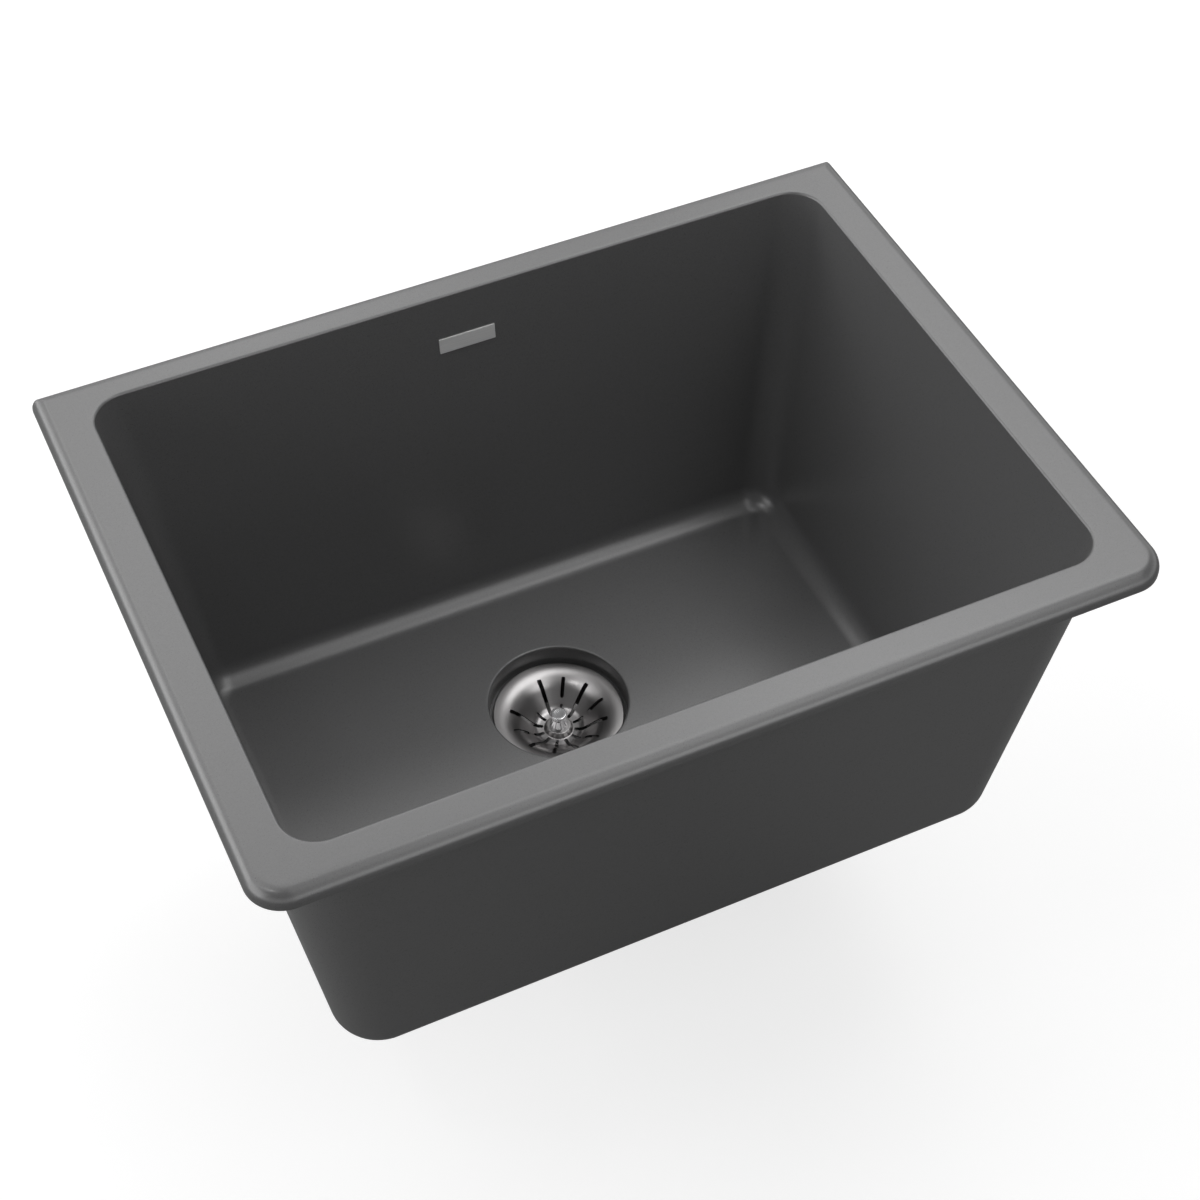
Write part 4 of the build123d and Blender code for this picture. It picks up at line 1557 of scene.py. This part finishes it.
class SINK_OT_spring(bpy.types.Operator):
    """Bend the post's spring leaves and clip"""

    bl_idname = "sink.spring"
    bl_label = "Spring and clip"

    def execute(self, context):
        sizes = context.scene.sink.basket
        low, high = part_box("post_spring")
        bow_r = half_across("post_spring")
        sheet = 0.00035
        end_r = sizes.post_tail_r + sizes.post_fit + sheet
        collar = (high.z - low.z) * 0.15
        stations = 15
        leaf_steps = 8
        gap = math.radians(11)
        leaf_loops = []
        for station in range(stations):
            share = station / (stations - 1)
            level = low.z + (high.z - low.z) * share
            radius = end_r + (bow_r - end_r) * math.sin(math.pi * share)
            in_collar = level < low.z + collar or level > high.z - collar
            half = math.pi / 4 - (0.0 if in_collar else gap)
            turns = [-half + 2 * half * step / leaf_steps for step in range(leaf_steps + 1)]
            outer = [polar(radius, turn, level) for turn in turns]
            inner = [polar(radius - sheet, turn, level) for turn in turns]
            leaf_loops.append(outer + inner[::-1])
        leaves = loft("spring_leaves", leaf_loops, closed=False)
        apply_tree(leaves, spoke_tree(), {"Count": 4, "Middle": tuple(DRAIN)})
        finish_piece(leaves, "steel", "basket", "post_spring")

        clip_low, clip_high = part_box("post_clip")
        outer_r = half_across("post_clip")
        inner_r = sizes.post_r - POST_GROOVE + sizes.post_fit
        half_gap = 0.0015
        first = math.asin(half_gap / outer_r)
        inner_first = math.asin(half_gap / inner_r)
        steps = 40
        loops = []
        for step in range(steps + 1):
            share = step / steps
            out_turn = first + (FULL_TURN - 2 * first) * share
            in_turn = inner_first + (FULL_TURN - 2 * inner_first) * share
            near = DRAIN + polar(inner_r, in_turn)
            far = DRAIN + polar(outer_r, out_turn)
            corners = [(0, clip_low.z), (1, clip_low.z), (1, clip_high.z), (0, clip_high.z)]
            loops.append([near.lerp(far, side) + Vector((0, 0, level)) for side, level in corners])
        clip = loft("spring_clip", loops, closed=False)
        finish_piece(clip, "steel", "basket", "post_clip")
        return {"FINISHED"}


# The stage

LAMP_AIM = Vector((0, 0, -0.1))
LAMP_REACH = 4.0
FLOOR_DROP = 0.001
FLOOR_HALF = 12
FLOOR_IN_METAL = 0.3
FLOOR_SEEN = 0.45
PALING_START = 1.0
PALING_END = 2.2


def area_lamp(name, height, turn, power, size=2.0):
    """Soft square lamp at an elevation and at a turn to the right of straight back, in degrees."""
    tall = math.radians(height)
    about = math.radians(turn)
    away = Vector((math.sin(about) * math.cos(tall), math.cos(about) * math.cos(tall), math.sin(tall)))
    lamp = bpy.data.lights.new(name, "AREA")
    lamp.size = size
    lamp.energy = power
    holder = new_object(name, lamp)
    holder.location = LAMP_AIM + away * LAMP_REACH
    holder.rotation_euler = away.to_track_quat("Z", "Y").to_euler()


def seen_in_metal(tree, path):
    """Mask of what shows in a shiny surface."""
    return maths(tree, "MAXIMUM", path.outputs["Is Glossy Ray"], path.outputs["Is Transmission Ray"])


class SINK_OT_stage(bpy.types.Operator):
    """Set the floor, lamps, backdrop and camera"""

    bl_idname = "sink.stage"
    bl_label = "Stage"

    def execute(self, context):
        settings = context.scene.sink.stage
        self.make_floor(settings)
        self.make_lamps()
        self.make_sky(context.scene, settings)
        camera_data = bpy.data.cameras.new("photo_camera")
        camera_data.lens = settings.lens
        camera_data.sensor_width = 36
        camera_data.shift_x = settings.shift_x
        camera_data.shift_y = settings.shift_y
        camera = new_object("photo_camera", camera_data)
        camera.location = settings.camera_place
        camera.rotation_euler = (math.pi / 2 - settings.camera_pitch, 0, -settings.camera_yaw)
        context.scene.camera = camera
        context.scene.view_settings.view_transform = "Standard"
        return {"FINISHED"}

    def make_floor(self, settings):
        """Floor that takes a soft shadow near the part and is white further out."""
        mesh = bpy.data.meshes.new("floor")
        level = CAD_BOX[0][2] - FLOOR_DROP
        sides = ((-1, -1), (1, -1), (1, 1), (-1, 1))
        mesh.from_pydata([(x * FLOOR_HALF, y * FLOOR_HALF, level) for x, y in sides], [], [(0, 1, 2, 3)])
        floor = new_object("floor", mesh)
        material = bpy.data.materials.new("pale_floor")
        material.use_nodes = True
        tree = material.node_tree
        tree.nodes.remove(tree.nodes["Principled BSDF"])
        path = tree.nodes.new("ShaderNodeLightPath")
        dull, in_metal, pale = [
            add_node(tree, "ShaderNodeBsdfDiffuse", {"Color": (grey, grey, grey, 1)})
            for grey in (settings.floor_grey, FLOOR_IN_METAL, FLOOR_SEEN)
        ]
        place = tree.nodes.new("ShaderNodeTexCoord")
        reach = add_node(tree, "ShaderNodeVectorMath", {0: place.outputs["Object"]}, operation="LENGTH")
        paling = add_node(tree, "ShaderNodeMapRange", {
            "Value": reach.outputs["Value"],
            "From Min": PALING_START,
            "From Max": PALING_END,
            "To Min": settings.floor_glow,
            "To Max": 1.0,
        })
        glow = add_node(tree, "ShaderNodeEmission", {"Color": (1, 1, 1, 1), "Strength": paling.outputs[0]})
        lit = add_node(tree, "ShaderNodeAddShader", {0: pale.outputs[0], 1: glow.outputs[0]})
        mirrored = add_node(tree, "ShaderNodeMixShader", {
            0: seen_in_metal(tree, path), 1: dull.outputs[0], 2: in_metal.outputs[0],
        })
        mixed = add_node(tree, "ShaderNodeMixShader", {
            0: path.outputs["Is Camera Ray"], 1: mirrored.outputs[0], 2: lit.outputs[0],
        })
        tree.links.new(mixed.outputs[0], tree.nodes["Material Output"].inputs["Surface"])
        mesh.materials.append(material)

    def make_lamps(self):
        """Lamps all round the part, by elevation, turn, watts and size."""
        area_lamp("left_low", 19, 270, 50, 3.0)
        area_lamp("back_left_low", 22, 308, 31)
        area_lamp("back_left", 42, 335, 14)
        area_lamp("back", 46, 0, 15)
        area_lamp("back_right", 40, 20, 12)
        area_lamp("right_high", 44, 50, 19.5)
        area_lamp("right_overhead", 66, 60, 26)
        area_lamp("back_overhead", 70, 350, 7)
        area_lamp("left_high", 42, 278, 8.5)
        area_lamp("left_overhead", 58, 295, 12.5)
        area_lamp("front_right_overhead", 71, 112, 10)
        area_lamp("front_overhead", 60, 140, 12)
        area_lamp("front_high", 47, 155, 13)
        area_lamp("front_middle", 27, 162, 8)
        area_lamp("front_low", 8, 164, 15)
        area_lamp("left_glint", 66, 259, 6, 0.5)

    def make_sky(self, scene, settings):
        """Backdrop that is white to the camera, with a dark ceiling in metal."""
        world = bpy.data.worlds.new("studio")
        scene.world = world
        world.use_nodes = True
        tree = world.node_tree
        backdrop = tree.nodes["Background"]
        wire(tree, backdrop, {"Color": (1, 1, 1, 1)})
        toward = tree.nodes.new("ShaderNodeTexCoord").outputs["Generated"]
        parts = add_node(tree, "ShaderNodeSeparateXYZ", {0: toward})
        walls = add_node(tree, "ShaderNodeMapRange", {
            "Value": parts.outputs["Z"],
            "From Min": math.sin(settings.wall_top),
            "From Max": math.sin(settings.ceiling),
            "To Min": 1.0,
            "To Max": settings.ceiling_grey,
        })
        path = tree.nodes.new("ShaderNodeLightPath")
        seen = maths(tree, "MAXIMUM", path.outputs["Is Camera Ray"], seen_in_metal(tree, path))
        strength = add_node(tree, "ShaderNodeMapRange", {
            "Value": seen, "To Min": settings.sky, "To Max": walls.outputs[0],
        })
        tree.links.new(strength.outputs[0], backdrop.inputs["Strength"])


class SINK_PT_panel(bpy.types.Panel):
    """Lists the sink's pieces and sizes"""

    bl_idname = "SINK_PT_panel"
    bl_label = "Quartz kitchen sink"
    bl_space_type = "VIEW_3D"
    bl_region_type = "UI"
    bl_category = "Sink"

    def draw(self, context):
        layout = self.layout
        for operator in OPERATORS:
            layout.operator(operator.bl_idname)
        for group in ("bowl", "drain", "basket", "finishes", "stage"):
            box = layout.box()
            box.label(text=group.capitalize())
            settings = getattr(context.scene.sink, group)
            for key in settings.bl_rna.properties.keys():
                if key not in ("rna_type", "name"):
                    box.prop(settings, key)


OPERATORS = (
    SINK_OT_bowl,
    SINK_OT_inserts,
    SINK_OT_plate,
    SINK_OT_strainer,
    SINK_OT_cross_bar,
    SINK_OT_seals,
    SINK_OT_locknut,
    SINK_OT_coupling,
    SINK_OT_basket,
    SINK_OT_knob,
    SINK_OT_stopper,
    SINK_OT_spring,
    SINK_OT_stage,
)
SETTINGS = (BowlSizes, DrainSizes, BasketSizes, Finishes, StageSettings, SinkSettings)


def register():
    """Make the settings, operators and panel known."""
    for item in SETTINGS + OPERATORS + (SINK_PT_panel,):
        bpy.utils.register_class(item)
    bpy.types.Scene.sink = PointerProperty(type=SinkSettings)


def unregister():
    """Take the settings, operators and panel away."""
    del bpy.types.Scene.sink
    for item in reversed(SETTINGS + OPERATORS + (SINK_PT_panel,)):
        bpy.utils.unregister_class(item)


def main():
    """Make every piece."""
    register()
    build_materials(bpy.context.scene.sink.finishes)
    for operator in OPERATORS:
        group, name = operator.bl_idname.split(".")
        getattr(getattr(bpy.ops, group), name)()


if __name__ == "__main__":
    main()
